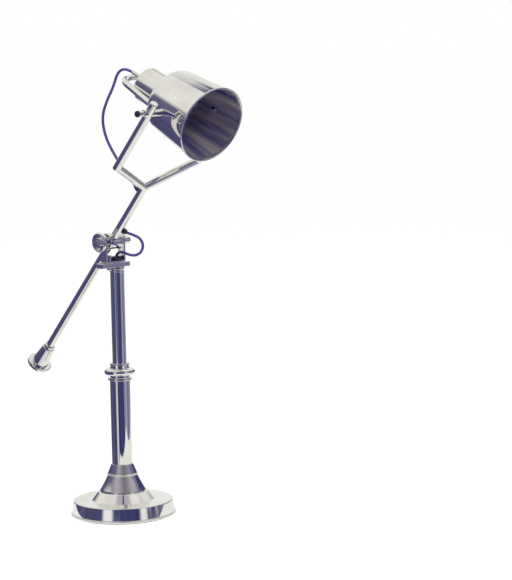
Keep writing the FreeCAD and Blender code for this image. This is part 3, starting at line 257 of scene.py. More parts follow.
def lathe(corners: Corners, around: int = 96, steps: int = 6) -> Skin:
    """A closed outline of (radius, height) carried round the Z axis.

    The point at run s and angle t is (r(s) cos t, r(s) sin t, z(s)). A run that ends on the axis closes in a
    fan, and a run along the axis makes no faces.

    Args:
        corners: Corners (radius, height) or (radius, height, rounding), in millimetres.
        around: Number of parts of the full turn.
        steps: Parts of a quarter turn at each rounded corner.
    """
    outline = rounded(corners, True, steps)
    x, y = outline[:, 0], outline[:, 1]
    if float(np.sum(x * np.roll(y, -1) - np.roll(x, -1) * y)) < 0:
        outline = outline[::-1].copy()
    rings = len(outline)
    start, end = strip_normals(outline)
    angle = np.linspace(0, 2 * math.pi, around + 1)
    ring = np.stack([np.cos(angle), np.sin(angle)], 1)
    radius = outline[:, 0]
    level = np.broadcast_to(outline[:, 1, None, None], (rings, around, 1))
    points = np.concatenate([radius[:, None, None] * ring[None, :-1], level], 2).reshape(-1, 3)
    lengths = np.linalg.norm(np.roll(outline, -1, 0) - outline, axis=1)
    travel = np.concatenate([[0], np.cumsum(lengths)])
    faces, normals, places = [], [], []
    column = np.arange(around)
    after = (column + 1) % around
    for row in range(rings):
        following = (row + 1) % rings
        low, high = bool(radius[row] > 1e-6), bool(radius[following] > 1e-6)
        if not low and not high:
            continue
        lower = np.column_stack([start[row, 0] * ring, np.full(around + 1, start[row, 1])])
        upper = np.column_stack([end[row, 0] * ring, np.full(around + 1, end[row, 1])])
        one, two = (part * max(radius[row], radius[following]) for part in (angle[:-1], angle[1:]))
        before, beyond = np.full(around, travel[row]), np.full(around, travel[row + 1])
        # Index, normal and pattern place at the four corners of every face of this strip.
        corner = [
            (row * around + column * low, lower[:-1], (one, before)),
            (row * around + after * low, lower[1:], (two, before)),
            (following * around + after * high, upper[1:], (two, beyond)),
            (following * around + column * high, upper[:-1], (one, beyond)),
        ]
        used = [corner[k] for k in ((0, 1, 2, 3) if low and high else (0, 1, 3) if low else (0, 2, 3))]
        faces.extend(map(tuple, np.stack([c[0] for c in used], 1).tolist()))
        normals.append(np.stack([c[1] for c in used], 1).reshape(-1, 3))
        places.append(np.stack([np.stack(c[2], 1) for c in used], 1).reshape(-1, 2))
    return Skin(points, faces, np.concatenate(normals), np.concatenate(places))


def grid_skin(points: np.ndarray, normals: np.ndarray) -> Skin:
    """A tube given as rows of ring points with a normal for each, closed by flat fans at its two ends.

    Args:
        points: Array of rows x around x 3.
        normals: Outward normals in the same layout.
    """
    rows, around = points.shape[:2]
    column = np.arange(around)
    after = (column + 1) % around
    row = np.arange(rows - 1)[:, None] * around
    quads = np.stack([row + column, row + after, row + around + after, row + around + column], 2)
    quads = quads.reshape(-1, 4)
    length = np.concatenate([[0], np.cumsum(np.linalg.norm(np.diff(points.mean(1), axis=0), axis=1))])
    girth = np.linalg.norm(points[0] - np.roll(points[0], -1, 0), axis=1).sum()
    u = np.broadcast_to(column / around * girth, (rows - 1, around))
    step = girth / around
    v0, v1 = np.broadcast_to(length[:-1, None], u.shape), np.broadcast_to(length[1:, None], u.shape)
    places = np.stack([u, v0, u + step, v0, u + step, v1, u, v1], 2).reshape(-1, 2)
    flat = normals.reshape(-1, 3)
    made = Skin(points.reshape(-1, 3), list(map(tuple, quads.tolist())), flat[quads.reshape(-1)], places)
    for end, outward in ((0, -1), (rows - 1, 1)):
        ring = points[end]
        centre = ring.mean(0)
        normal = unit(np.cross(ring - centre, np.roll(ring, -1, 0) - centre).sum(0) * outward)
        rim = [end * around + column, end * around + after][::outward]
        fan = np.stack([*rim, np.full(around, len(made.points))], 1)
        cap = Skin(centre[None], [], np.broadcast_to(normal, (around * 3, 3)), np.zeros((around * 3, 2)))
        made = made + cap
        made.faces += list(map(tuple, fan.tolist()))
    return made


def rod(radius: float, foot: np.ndarray | float, head: np.ndarray, rows: int) -> Skin:
    """A round rod along Z whose ends are cut at a height for each angle round it."""
    angle = round_angles(len(head))
    share = np.linspace(0, 1, rows)[:, None]
    out = np.stack([np.cos(angle), np.sin(angle), np.zeros(len(head))], 1)
    points = np.broadcast_to(out * radius, (rows, *out.shape)).copy()
    points[:, :, 2] = foot * (1 - share) + head * share
    return grid_skin(points, np.broadcast_to(out, points.shape))


def round_angles(count: int) -> np.ndarray:
    """Returns equal angles round a full turn, the last one left open."""
    return np.linspace(0, 2 * math.pi, count, endpoint=False)


def carried(path: np.ndarray, radius: float, around: int = 24) -> Skin:
    """A round section carried along a path.

    The section's frame moves with the path and turns only as much as the path bends: each side vector is the
    last one with its part along the new tangent taken away.
    """
    tangent = unit(np.gradient(path, axis=0))
    side = np.cross(tangent[0], (0.3, 0.9, 0.2))
    sides = []
    for way in tangent:
        side = unit(side - way * (side @ way))
        sides.append(side)
    sides = np.array(sides)
    other = np.cross(tangent, sides)
    angle = round_angles(around)[None, :, None]
    out = np.cos(angle) * sides[:, None] + np.sin(angle) * other[:, None]
    return grid_skin(path[:, None] + radius * out, out)


def block(size: Sequence[float], edge: float, steps: int = 5) -> Skin:
    """A box with rounded edges, centred on the origin.

    Each direction d of a sphere gives the point sign(d) * (half size - edge) + edge * d, so the eighths of a
    small sphere sit in the corners and the flats between them are stretched faces.
    """
    half = np.array(size, float) / 2 - edge
    quarter = np.linspace(0, math.pi / 2, steps + 1)
    turn = np.concatenate([quarter + k * math.pi / 2 for k in range(4)])
    rise = np.concatenate([quarter - math.pi / 2, quarter])[:, None]
    signs = [np.repeat(s, steps + 1) for s in ([1, -1, -1, 1], [1, 1, -1, -1], [-1, 1])]
    signs[2] = signs[2][:, None]
    ways = [np.cos(rise) * np.cos(turn), np.cos(rise) * np.sin(turn), np.sin(rise)]
    signs, way = (np.stack(np.broadcast_arrays(*parts), 2) for parts in (signs, ways))
    return grid_skin(signs * half + way * edge, way)


def flat_shaded(shape: Skin, limit: float = 32.0) -> Skin:
    """Gives a skin normals from its own faces, shared between faces that meet at less than an angle.

    Each face corner takes the mean of the normals of the faces at its point that lie within the limit of its
    own, weighted by area.
    """
    owner = np.repeat(np.arange(len(shape.faces)), [len(f) for f in shape.faces])
    corner = np.concatenate([np.array(f) for f in shape.faces])
    loops = [shape.points[list(face)] for face in shape.faces]
    area = np.array([np.cross(p - p[0], np.roll(p, -1, 0) - p[0]).sum(0) for p in loops])
    facing = unit(area)
    order = np.argsort(corner, kind="stable")
    normals = np.zeros((len(corner), 3))
    for group in np.split(order, np.flatnonzero(np.diff(corner[order])) + 1):
        own = facing[owner[group]]
        close = (own @ own.T) > math.cos(math.radians(limit))
        normals[group] = unit(close @ area[owner[group]])
    return Skin(shape.points, shape.faces, normals, shape.places)


def make_object(name: str, skin: Skin) -> bpy.types.Object:
    """Turns a skin in millimetres into a mesh object at the origin, in metres.

    Args:
        name: Name of the object.
        skin: The shape.

    Returns:
        The new object, smooth shaded, with the skin's own normals.
    """
    mesh = bpy.data.meshes.new(name)
    mesh.from_pydata((skin.points * MM).tolist(), [], skin.faces)
    layer = mesh.uv_layers.new(name="turned")
    layer.data.foreach_set("uv", skin.places.astype(np.float32).ravel())
    mesh.polygons.foreach_set("use_smooth", np.ones(len(mesh.polygons), bool))
    mesh.normals_split_custom_set(skin.normals.tolist())
    return shown(name, mesh)


def shown(name: str, data: bpy.types.ID) -> bpy.types.Object:
    """Makes an object of a mesh, curve, lamp or camera and links it to the scene."""
    made = bpy.data.objects.new(name, data)
    bpy.context.scene.collection.objects.link(made)
    return made


# Finishes.


def linear(hex_colour: str) -> tuple[float, float, float, float]:
    """Turns an sRGB hex colour such as "c8c4bc" into linear red, green, blue and a full alpha."""
    parts = [int(hex_colour[i : i + 2], 16) / 255 for i in (0, 2, 4)]
    return (*[c / 12.92 if c <= 0.04045 else ((c + 0.055) / 1.055) ** 2.4 for c in parts], 1.0)


def cleared(owner: bpy.types.Material | bpy.types.World) -> bpy.types.NodeTree:
    """Returns the emptied node tree of a material or world."""
    owner.use_nodes = True
    owner.node_tree.nodes.clear()
    return owner.node_tree


def add(
    tree: bpy.types.NodeTree, kind: str, settings: dict | None = None, inputs: dict | None = None,
    **links: Socket
) -> bpy.types.Node:
    """Adds a node to a tree.

    Args:
        tree: The node tree.
        kind: The node's type name.
        settings: Node properties.
        inputs: Values by socket name or number.
        links: Output sockets by the input they feed, with _ for a space; a number is written i0, i1 and so
        on.

    Returns:
        The node.
    """
    node = tree.nodes.new(kind)
    for key, value in (inputs or {}).items():
        node.inputs[key].default_value = value
    for key, value in (settings or {}).items():
        setattr(node, key, value)
    for key, socket in links.items():
        numbered = key[0] == "i" and key[1:].isdigit()
        tree.links.new(socket, node.inputs[int(key[1:])] if numbered else node.inputs[key.replace("_", " ")])
    return node


class Mixture:
    """A material as it is put together: its nodes, and the main shader that they feed."""

    def __init__(self, name: str) -> None:
        """Starts an empty material with one main shader."""
        self.material = bpy.data.materials.new(name)
        self.tree = cleared(self.material)
        self.shader = add(self.tree, "ShaderNodeBsdfPrincipled")
        add(self.tree, "ShaderNodeOutputMaterial", Surface=self.shader.outputs["BSDF"])

    @cached_property
    def where(self) -> Socket:
        """Place in the object, in metres, which clouds and grains are measured by."""
        return add(self.tree, "ShaderNodeTexCoord").outputs["Object"]

    @cached_property
    def turned(self) -> Socket:
        """Place on the turned surface, in millimetres round it and along its outline."""
        return add(self.tree, "ShaderNodeUVMap", {"uv_map": "turned"}).outputs["UV"]

    def drawn(self, across: float, along: float) -> Socket:
        """Returns the place on the turned surface, scaled round it and along its outline."""
        scale = {"Scale": (across, along, 1.0)}
        return add(self.tree, "ShaderNodeMapping", inputs=scale, Vector=self.turned).outputs["Vector"]

    def noise(self, place: Socket, scale: float = 1.0, detail: float = 2.0, **more: float) -> Socket:
        """Returns cloudy noise over a place."""
        inputs = {"Scale": scale, "Detail": detail, **more}
        return add(self.tree, "ShaderNodeTexNoise", inputs=inputs, Vector=place).outputs["Fac"]

    def tint(self, share: Socket, low: float, first: str, high: float, last: str) -> Socket:
        """Returns a colour that goes from the first sRGB hex at low to the last one at high."""
        node = add(self.tree, "ShaderNodeValToRGB", Fac=share)
        for stop, place, colour in zip(node.color_ramp.elements, (low, high), (first, last)):
            stop.position, stop.color = place, linear(colour)
        return node.outputs["Color"]

    def span(self, share: Socket, low: float, high: float, start: float = 0.0, stop: float = 1.0) -> Socket:
        """Returns a value that goes from low to high as the share goes from start to stop."""
        inputs = {"From Min": start, "From Max": stop, "To Min": low, "To Max": high}
        return add(self.tree, "ShaderNodeMapRange", inputs=inputs, Value=share).outputs["Result"]

    def relief(self, height: Socket, strength: float, depth_mm: float) -> Socket:
        """Returns a normal that follows a height."""
        inputs = {"Strength": strength, "Distance": depth_mm * MM}
        return add(self.tree, "ShaderNodeBump", inputs=inputs, Height=height).outputs["Normal"]

    def finish(self, **values: Socket | float) -> bpy.types.Material:
        """Feeds the main shader, each input from a socket or with a constant, and returns the material."""
        for key, value in values.items():
            target = self.shader.inputs[key.replace("_", " ")]
            if isinstance(value, Socket):
                self.tree.links.new(value, target)
            else:
                target.default_value = value
        return self.material


@dataclass(frozen=True)
class PolishedNickel:
    """Nickel plate over turned brass, buffed to a mirror. It gives a sharp, faintly warm reflection.

    The haze is what handling and wiping leave: patches about 40 mm across that are a little less sharp. The
    buffing marks are hair lines 0.35 mm apart along the turned outline, drawn that coarse so that they show.
    """

    name: str = "polished_nickel_plate"
    light: str = "eae9e5"
    dull: str = "dddbd6"
    sharp: float = 0.02
    hazy: float = 0.06
    patch_mm: float = 40.0
    line_mm: float = 0.35
    line_depth: float = 0.02

    def build(self) -> bpy.types.Material:
        """Returns the material."""
        mix = Mixture(self.name)
        patches = mix.noise(mix.where, 1 / (self.patch_mm * MM), 5.0, Roughness=0.62)
        lines = mix.noise(mix.drawn(0.02 / self.line_mm, 1 / self.line_mm))
        return mix.finish(
            Base_Color=mix.tint(patches, 0.38, self.light, 0.72, self.dull),
            Roughness=mix.span(patches, self.sharp, self.hazy, 0.42, 0.75),
            Normal=mix.relief(lines, self.line_depth, 0.02),
            Metallic=1.0,
        )


@dataclass(frozen=True)
class SpunAluminium:
    """Bare spun aluminium with a satin face. The spinning marks run round it, so its glow draws out into
    streaks.

    The marks are 0.6 mm apart, coarse enough to show. The broader bands run from the back to the mouth,
    about 24 mm wide. Their colour, pale to violet-blue, is partly wiping marks and mostly painted reflection
    of the lit and the dim room on top of the real one. An oxide film scatters light that bare metal would
    mirror, so only a share of the face counts as bare.
    """

    name: str = "spun_aluminium_satin"
    light: str = "efe5de"
    # The violet-blue is painted reflection of the dim room, not a colour of the metal.
    dull: str = "6260a8"
    mark_mm: float = 0.6
    band_mm: float = 24.0
    bare_share: float = 0.68
    matt: float = 0.36
    sheen: float = 0.26

    def build(self) -> bpy.types.Material:
        """Returns the material."""
        mix = Mixture(self.name)
        fine = mix.noise(mix.drawn(0.01, 1 / self.mark_mm), detail=3.0)
        broad = mix.noise(mix.drawn(1 / self.band_mm, 0.004))
        along = add(mix.tree, "ShaderNodeTangent", {"direction_type": "UV_MAP", "uv_map": "turned"})
        return mix.finish(
            # Painted reflection: the bands go from violet-blue to pale, standing in for the dim and the lit
            # room mirrored inside.
            Base_Color=mix.tint(broad, 0.35, self.dull, 0.65, self.light),
            Roughness=mix.span(broad, self.matt, self.sheen, 0.3, 0.7),
            Normal=mix.relief(fine, 0.12, 0.03),
            Tangent=along.outputs["Tangent"],
            Metallic=self.bare_share,
            Anisotropic=0.6,
        )


@dataclass(frozen=True)
class MouldedPolymer:
    """A moulded plastic, rubber or sheathing: even colour with faint mottling, and the fine grain of its
    mould.

    The grain is 0.8 mm across. Its gloss is the roughness, and the mottling is about 12 mm across.
    """

    name: str
    light: str
    dark: str
    roughness: float
    grain_depth: float
    grain_mm: float = 0.8
    mottle_mm: float = 12.0

    def build(self) -> bpy.types.Material:
        """Returns the material."""
        mix = Mixture(self.name)
        mottle = mix.noise(mix.where, 1 / (self.mottle_mm * MM), 4.0)
        grain = mix.noise(mix.where, 1 / (self.grain_mm * MM))
        return mix.finish(
            Base_Color=mix.tint(mottle, 0.35, self.dark, 0.68, self.light),
            Roughness=mix.span(grain, self.roughness * 0.8, self.roughness * 1.2),
            Normal=mix.relief(grain, self.grain_depth, 0.05),
            IOR=1.52,
        )


@dataclass(frozen=True)
class WoolFelt:
    """Pressed wool felt under the base: matt, with tangled fibres about 0.5 mm thick and a soft sheen."""

    name: str = "pressed_wool_felt"
    light: str = "2b2e33"
    dark: str = "15171b"
    fibre_mm: float = 0.5

    def build(self) -> bpy.types.Material:
        """Returns the material."""
        mix = Mixture(self.name)
        fibres = mix.noise(mix.where, 1 / (self.fibre_mm * MM), 6.0, Distortion=1.5)
        return mix.finish(
            Base_Color=mix.tint(fibres, 0.35, self.dark, 0.7, self.light),
            Normal=mix.relief(fibres, 0.6, 0.3),
            Roughness=0.95,
            Sheen_Weight=0.4,
        )


@dataclass(frozen=True)
class SandCastIron:
    """Grey iron as it leaves a sand mould: dark, matt and pitted by grains about 1.2 mm across."""

    name: str = "sand_cast_iron"
    light: str = "4b4a49"
    dark: str = "2b2a2a"
    grain_mm: float = 1.2

    def build(self) -> bpy.types.Material:
        """Returns the material."""
        mix = Mixture(self.name)
        scale = {"Scale": 1 / (self.grain_mm * MM)}
        grains = add(mix.tree, "ShaderNodeTexVoronoi", inputs=scale, Vector=mix.where).outputs["Distance"]
        return mix.finish(
            Base_Color=mix.tint(grains, 0.2, self.dark, 0.8, self.light),
            Normal=mix.relief(grains, 0.5, 0.3),
            Metallic=0.6,
            Roughness=0.7,
        )


class Workshop:
    """Builds finished pieces and remembers the materials that they share."""

    def __init__(self) -> None:
        """Makes every finish once."""
        self.finishes = {
            Slot.NICKEL: PolishedNickel().build(),
            Slot.REFLECTOR: SpunAluminium().build(),
            Slot.FELT: WoolFelt().build(),
            Slot.IRON: SandCastIron().build(),
            # Moulded rubber with a dull face and a grain that shows.
            Slot.RUBBER: MouldedPolymer("black_rubber", "24242a", "17171c", 0.55, 0.3).build(),
            # Soft PVC sheathing, dyed dark indigo, nearly smooth.
            Slot.SHEATH: MouldedPolymer("pvc_sheath_indigo", "4c4389", "3d3673", 0.42, 0.03).build(),
            # Hard moulded phenolic with a gloss close to varnish.
            Slot.PLASTIC: MouldedPolymer("moulded_black_phenolic", "2a2844", "1b1a2e", 0.2, 0.02).build(),
        }

    def finish(self, made: bpy.types.Object, node: str, slot: Slot, body: Body | None) -> bpy.types.Object:
        """Gives a piece its material, its body and the frame node that it stands for.

        Args:
            made: The piece.
            node: Name of the node that it replaces.
            slot: Its material slot.
            body: The body that it rides on, or None for a piece left on no body.

        Returns:
            The piece.
        """
        made.data.materials.clear()
        made.data.materials.append(self.finishes[slot])
        if body is not None:
            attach(made, body.value)
        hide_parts(node)
        LOG.info("%s stands for %s, %d faces", made.name, node, len(made.data.polygons))
        return made

    def piece(self, node: str, skin: Skin, body: Body, slot: Slot = Slot.NICKEL) -> bpy.types.Object:
        """Makes a piece named after the node that it replaces."""
        return self.finish(make_object(f"{node}_piece", skin), node, slot, body)

    def turned(
        self, node: str, body: Body, corners: Corners, around: int, at: np.ndarray | None = None,
        slot: Slot = Slot.NICKEL, pair: bool = False, steps: int = 6,
    ) -> bpy.types.Object:
        """Makes a turned piece.

        Args:
            node: Name of the node that it replaces.
            body: The body that it rides on.
            corners: The profile, as for lathe.
            around: Number of parts of the full turn.
            at: Frame that the profile stands in, the lamp's own if left out.
            slot: Its material slot.
            pair: Whether a second one faces it, turned half round the frame's X axis.
            steps: Parts of a quarter turn at each rounded corner.

        Returns:
            The piece.
        """
        skin = lathe(corners, around, steps)
        if pair:
            skin = skin + skin.at(spin("x", 180))
        return self.piece(node, skin if at is None else skin.at(at), body, slot)

    def keep(self, node: str, slot: Slot) -> None:
        """Gives a hidden node that stays as it is its material."""
        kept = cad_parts[node]
        kept.data.materials.clear()
        kept.data.materials.append(self.finishes[slot])


# The lamp, from the table up.


@dataclass
class Base:
    """Felt pad, steel foot, spun cover with a raised step, bell skirt and the outlet bush."""

    pad_radius: float = 95.0
    pad_thick: float = 2.0
    foot_radius: float = 100.5
    foot_top: float = 6.4
    nut_recess: float = 8.7
    bore: float = 5.1
    cover_radius: float = 98.0
    cover_shoulder: float = 94.6
    cover_top: float = 29.8
    wall: float = 1.8
    step_low: float = 60.0
    step_high: float = 47.5
    step_top: float = 46.4
    bell_radius: float = 44.0
    bell_flare: float = 300.0
    bead_radius: float = 30.0
    bead_low: float = 77.0
    bead_high: float = 80.2
    neck_low: float = 28.2
    neck_radius: float = 20.9
    socket_radius: float = 19.4
    socket_ledge: float = 15.4
    bell_top: float = 98.0
    outlet_height: float = 17.9

    def build(self, shop: Workshop) -> None:
        """Makes the pieces of the base."""
        pad, foot, top = self.pad_radius, self.foot_radius, self.foot_top
        felt = [(0, 0), (pad, 0, 0.5), (pad, self.pad_thick, 0.5), (0, self.pad_thick)]
        shop.turned("base_pad", Body.STAND, felt, 160, slot=Slot.FELT)
        plate = [
            (self.nut_recess, self.pad_thick), (foot, self.pad_thick, 1.6), (foot, top, 1.9),
            (self.bore, top),
            (self.bore, 3.8), (self.nut_recess, 3.8),
        ]
        shop.turned("foot_plate", Body.STAND, plate, 192)
        inner = self.cover_radius - self.wall
        shop.turned("base_cover", Body.STAND, self.cover(inner), 192, steps=8)
        shop.piece("bell_skirt", self.bell(), Body.STAND)
        lean = math.atan2(self.cover_radius - self.cover_shoulder, self.cover_top - top)
        outlet_x = inner - (self.outlet_height - top) * math.tan(lean)
        outlet = shift(-outlet_x, 0, self.outlet_height) @ spin("y", math.degrees(lean) - 90)
        bush = [
            (2.9, -1.6, 0.4), (6.1, -1.6, 0.4), (6.1, 1.9), (7.8, 1.9, 0.5), (7.8, 3.4, 0.6),
            (6.2, 5.0, 0.6),
            (2.9, 5.0, 0.5),
        ]
        shop.turned("lead_grommet", Body.STAND, bush, 48, outlet, Slot.RUBBER)
        shop.keep("ballast_weight", Slot.IRON)
        shop.keep("tie_tube", Slot.NICKEL)
        shop.keep("tie_nut", Slot.NICKEL)

    def cover(self, inner: float) -> Corners:
        """Corners of the spun cover: its side, the flat top, the step's slope, and the same inside."""
        top, step, wall = self.cover_top, self.step_top, self.wall
        return [
            (inner, self.foot_top), (self.cover_radius, self.foot_top, 0.4), (self.cover_shoulder, top, 3.0),
            (self.step_low, top, 1.2), (self.step_high, step, 2.4), (self.bore, step),
            (self.bore, step - wall),
            (self.step_high - wall, step - wall, 1.0), (self.step_low - wall, top - wall, 2.0),
            (self.cover_shoulder - wall, top - wall, 1.2),
        ]

    def bell(self) -> Skin:
        """The flared skirt with its bead and the neck that holds the column."""
        bead, top, thick = self.bead_radius, self.bell_top, 3 * self.wall
        foot = (self.bell_radius, self.step_top + self.wall)
        return lathe(
            [
                (self.bell_radius - thick, self.step_top), (self.bell_radius, self.step_top, 0.5),
                *bow(foot, (bead - self.wall, self.bead_low), self.bell_flare),
                (bead, self.bead_low, 1.3), (bead, self.bead_high, 1.3),
                (self.neck_low, self.bead_high, 0.3),
                (self.neck_radius, top, 0.8), (self.socket_radius, top), (self.socket_radius, top - 12.0),
                (self.socket_ledge, top - 12.0), (self.socket_ledge, top - 16.0),
                (bead - thick, self.bead_low - 4.0),
            ],
            144,
        )


@dataclass
class Column:
    """Lower tube, turned collar with its round ring, upper tube and the swivel seat on top."""

    lower_radius: float = 19.3
    lower_foot: float = 86.0
    lower_top: float = 259.0
    upper_radius: float = 13.35
    upper_top: float = 465.0
    wall: float = 1.5
    flange_radius: float = 22.6
    flange_thick: float = 5.0
    plug_radius: float = 17.7
    plug_length: float = 12.0
    throat: float = 18.6
    ring_radius: float = 31.0
    ring_half: float = 6.2
    ring_height: float = 16.4
    lip_radius: float = 18.9
    lip_low: float = 28.9
    lip_top: float = 32.5

    def build(self, shop: Workshop) -> None:
        """Makes the pieces of the column."""
        for node, radius, low, high in (
            ("lower_column", self.lower_radius, self.lower_foot, self.lower_top),
            ("upper_column", self.upper_radius, self.lower_top + self.flange_thick, self.upper_top),
        ):
            inside = radius - self.wall
            shop.turned(
                node, Body.STAND, [(inside, low), (radius, low), (radius, high), (inside, high)], 128
            )
        low, throat, half, flange = self.lower_top, self.throat, self.ring_half, self.flange_radius
        middle, seat = low + self.ring_height, low + self.flange_thick
        edge = self.ring_radius - half
        collar = [
            (10.5, low - self.plug_length), (self.plug_radius, low - self.plug_length),
            (self.plug_radius, low),
            (flange, low, 1.2), (flange, seat, 1.2), (throat, seat, 0.6), (throat, middle - half, 0.8),
            *bow((edge, middle - half), (edge, middle + half), -half * 1.04, 22),
            (throat, middle + half, 0.8), (17.1, low + self.lip_low, 0.6),
            (self.lip_radius, low + self.lip_low, 0.6), (self.lip_radius, low + self.lip_top, 1.0),
            (13.45, low + self.lip_top), (13.45, seat), (10.5, seat),
        ]
        shop.turned("collar", Body.STAND, collar, 128)
        top = self.upper_top
        seat = [
            (5.1, top - 12.0), (11.75, top - 12.0), (11.75, top), (14.2, top, 0.5), (14.2, top + 3.4, 1.0),
            (11.4, top + 3.4, 0.4), (11.4, top + 5.4, 0.4), (14.4, top + 5.4, 1.0), (14.4, top + 9.4, 0.6),
            (7.0, top + 9.4), (7.0, top + 22.2), (5.1, top + 22.2),
        ]
        shop.turned("swivel_seat", Body.STAND, seat, 96)
        shop.keep("swivel_nut", Slot.NICKEL)


@dataclass
class Yoke:
    """Bar, bent strap with its two cheeks, the fasteners that hold it, and the dark cap over the swivel
    nut."""

    bar_low: float = 474.5
    bar_high: float = 483.9
    strap_top: float = 487.1
    middle: float = -8.7
    bar_length: float = 69.0
    bar_width: float = 18.0
    strap_width: float = 17.0
    strap_edge: float = 0.5
    cheek_gap: float = 40.2
    cheek_thick: float = 4.0
    cheek_top: float = 537.2
    cheek_steps: int = 14
    screw_y: float = -19.6
    cap_radius: float = 10.6
    cap_wall: float = 1.4
    cap_height: float = 8.0
    hole_radius: float = 3.45
    hole_place: tuple[float, float] = (-0.9, 0.0)

    def build(self, shop: Workshop) -> None:
        """Makes the pieces of the yoke."""
        bar = block((self.bar_width, self.bar_length, self.bar_high - self.bar_low), 1.2)
        shop.piece("yoke_bar", bar.at(shift(0, self.middle, (self.bar_low + self.bar_high) / 2)), Body.YOKE)
        shop.piece("yoke_strap", self.strap(), Body.YOKE)
        place, low = shift(0, self.screw_y, 0), self.bar_low
        screw = [
            (0, low - 4.6), (4.4, low - 4.6, 1.0), (4.4, low, 0.3), (2.0, low), (2.0, 496.1), (0, 496.1)
        ]
        shop.turned("strap_screw", Body.YOKE, screw, 48, place)
        nut = [(2.06, 487.1), (5.2, 487.1, 0.4), (5.2, 498.1, 1.2), (0, 498.1), (0, 496.2), (2.06, 496.2)]
        shop.turned("strap_nut", Body.YOKE, nut, 64, place)
        shop.piece("lead_dome", self.cap(), Body.YOKE, Slot.PLASTIC)

    def cap(self) -> Skin:
        """The cap: a turned cup whose hole is drawn off centre, more the nearer a point lies to the hole."""
        low, radius, hole = self.strap_top, self.cap_radius, self.hole_radius
        inner = radius - self.cap_wall
        top, under = low + self.cap_height, low + self.cap_height - self.cap_wall
        outline = [(inner, low), (radius, low, 0.4), (radius, top, 3.4), (hole, top, 0.5), (hole, under)]
        made = lathe([*outline, (inner, under, 2.0)], 80)
        edge = 9.0
        share = np.clip((edge - np.hypot(*made.points[:, :2].T)) / (edge - hole), 0, 1)
        made.points[:, :2] += share[:, None] * np.array(self.hole_place)
        return made

    def strap(self) -> Skin:
        """The bent strap: a flat section carried up one cheek's length, across, and up the other.

        The section is a rectangle with rounded edges. Its half width stays full along the strap and closes
        in a circle at each end: width = sqrt(r^2 - (r - s)^2) at s below the top.
        """
        near, far = (self.middle + self.cheek_gap / 2 * side for side in (-1, 1))
        top, steps, cap = self.cheek_top, self.cheek_steps, self.strap_width / 2
        falls = cap * (1 - np.cos(np.linspace(0, math.pi / 2, steps)))
        rows = []
        for reach, level, bend in ((self.cheek_thick, self.bar_high, 2.6), (0.0, self.strap_top, 0.6)):
            ends = (near - reach, far + reach)
            bent = [(ends[0], top), (ends[0], level, bend), (ends[1], level, bend), (ends[1], top)]
            line = rounded(bent, False)
            first, last = (np.stack([np.full(steps, end), top - falls], 1) for end in ends)
            rows.append(np.concatenate([first, line[1:-1], last[::-1]]))
        out, inn = rows
        drop = np.concatenate([falls, np.full(len(out) - 2 * steps, cap), falls[::-1]])
        wide = np.sqrt(np.maximum(cap**2 - (cap - drop) ** 2, 0.09))
        way, edge = unit(inn - out), self.strap_edge
        rim = []
        for base, narrow in ((out, edge), (out + way * edge, 0.0), (inn - way * edge, 0.0), (inn, edge)):
            rim.append(np.column_stack([np.maximum(wide - narrow, 0.05), base]))
        ring = np.stack(rim + [r * np.array([-1, 1, 1]) for r in reversed(rim)], 1)
        return flat_shaded(grid_skin(ring, np.zeros_like(ring)))


@dataclass
class ArmPivot:
    """Pivot bolt with its nut, washer and spacer, the disc knob, and the clamp block on the arm."""

    bolt_radius: float = 4.0
    bore: float = 4.06
    near_face: float = -32.8
    far_face: float = 15.4
    nut_length: float = 15.0
    block_half: float = 15.0
    block_radius: float = 15.5
    land: float = 4.0
    groove: float = 0.8
    groove_width: float = 1.6
    disc_radius: float = 20.5
    disc_thick: float = 8.0
    rim_round: float = 4.2
    dish: float = 2.6
    boss_radius: float = 8.6

    def build(self, shop: Workshop) -> None:
        """Makes the pieces of the arm pivot."""
        bore, pivot = self.bore, LAYOUT.pivot
        start = 0.3 - self.near_face
        front = start + self.rim_round + self.disc_thick
        boss = front + 1.4
        bolt_ends, bolt = (-boss - 0.9, self.far_face + 10.2), self.bolt_radius
        rod_profile = [(0, bolt_ends[0]), (bolt, bolt_ends[0], 1.0), (bolt, bolt_ends[1]), (0, bolt_ends[1])]
        shop.turned("pivot_bolt", Body.YOKE, rod_profile, 48, pivot)
        low, end = self.far_face, self.far_face + self.nut_length
        nut = [(bore, low), (8.4, low, 0.5), (8.4, end, 2.4), (0, end), (0, end - 4), (bore, end - 4)]
        shop.turned("pivot_nut", Body.YOKE, nut, 64, pivot)
        for node, radius, low, high in (
            ("pivot_washer", 8.6, -28.8, -25.5), ("pivot_spacer", 7.2, 4.7, 11.4)
        ):
            ring = [(bore, low), (radius, low, 0.4), (radius, high, 0.4), (bore, high)]
            shop.turned(node, Body.YOKE, ring, 64, pivot)
        shop.turned("disc_knob", Body.DISC_KNOB, self.disc(start, front, boss), 112, LAYOUT.pivot_near)
        shop.turned("clamp_block", Body.ARM, self.clamp(), 112, LAYOUT.arm @ spin("x", -90))

    def clamp(self) -> Corners:
        """Corners of the clamp block, with a shallow groove near each end."""
        half, radius, land = self.block_half, self.block_radius, self.block_half - self.land
        deep = radius - self.groove
        grooves = []
        for first, last in ((-land, self.groove_width - land), (land - self.groove_width, land)):
            grooves += [(radius, first, 0.2), (deep, first, 0.2), (deep, last, 0.2), (radius, last, 0.2)]
        return [(self.bore, -half), (radius, -half, 1.2), *grooves, (radius, half, 1.2), (self.bore, half)]

    def disc(self, start: float, front: float, boss: float) -> Corners:
        """Corners of the disc knob: a hub, a rim whose back is a quarter round, and a dished face with a
        boss."""
        rim, back, floor = self.disc_radius - self.rim_round, start + self.rim_round, front - self.dish
        return [
            (self.bore, start), (9.0, start, 0.5), (9.0, back, 1.5),
            *bow((rim, back), (rim, front), -self.rim_round, 18),
            (10.6, floor, 2.0), (self.boss_radius, floor, 0.5), (self.boss_radius, boss, 1.0),
            (self.bore, boss),
        ]


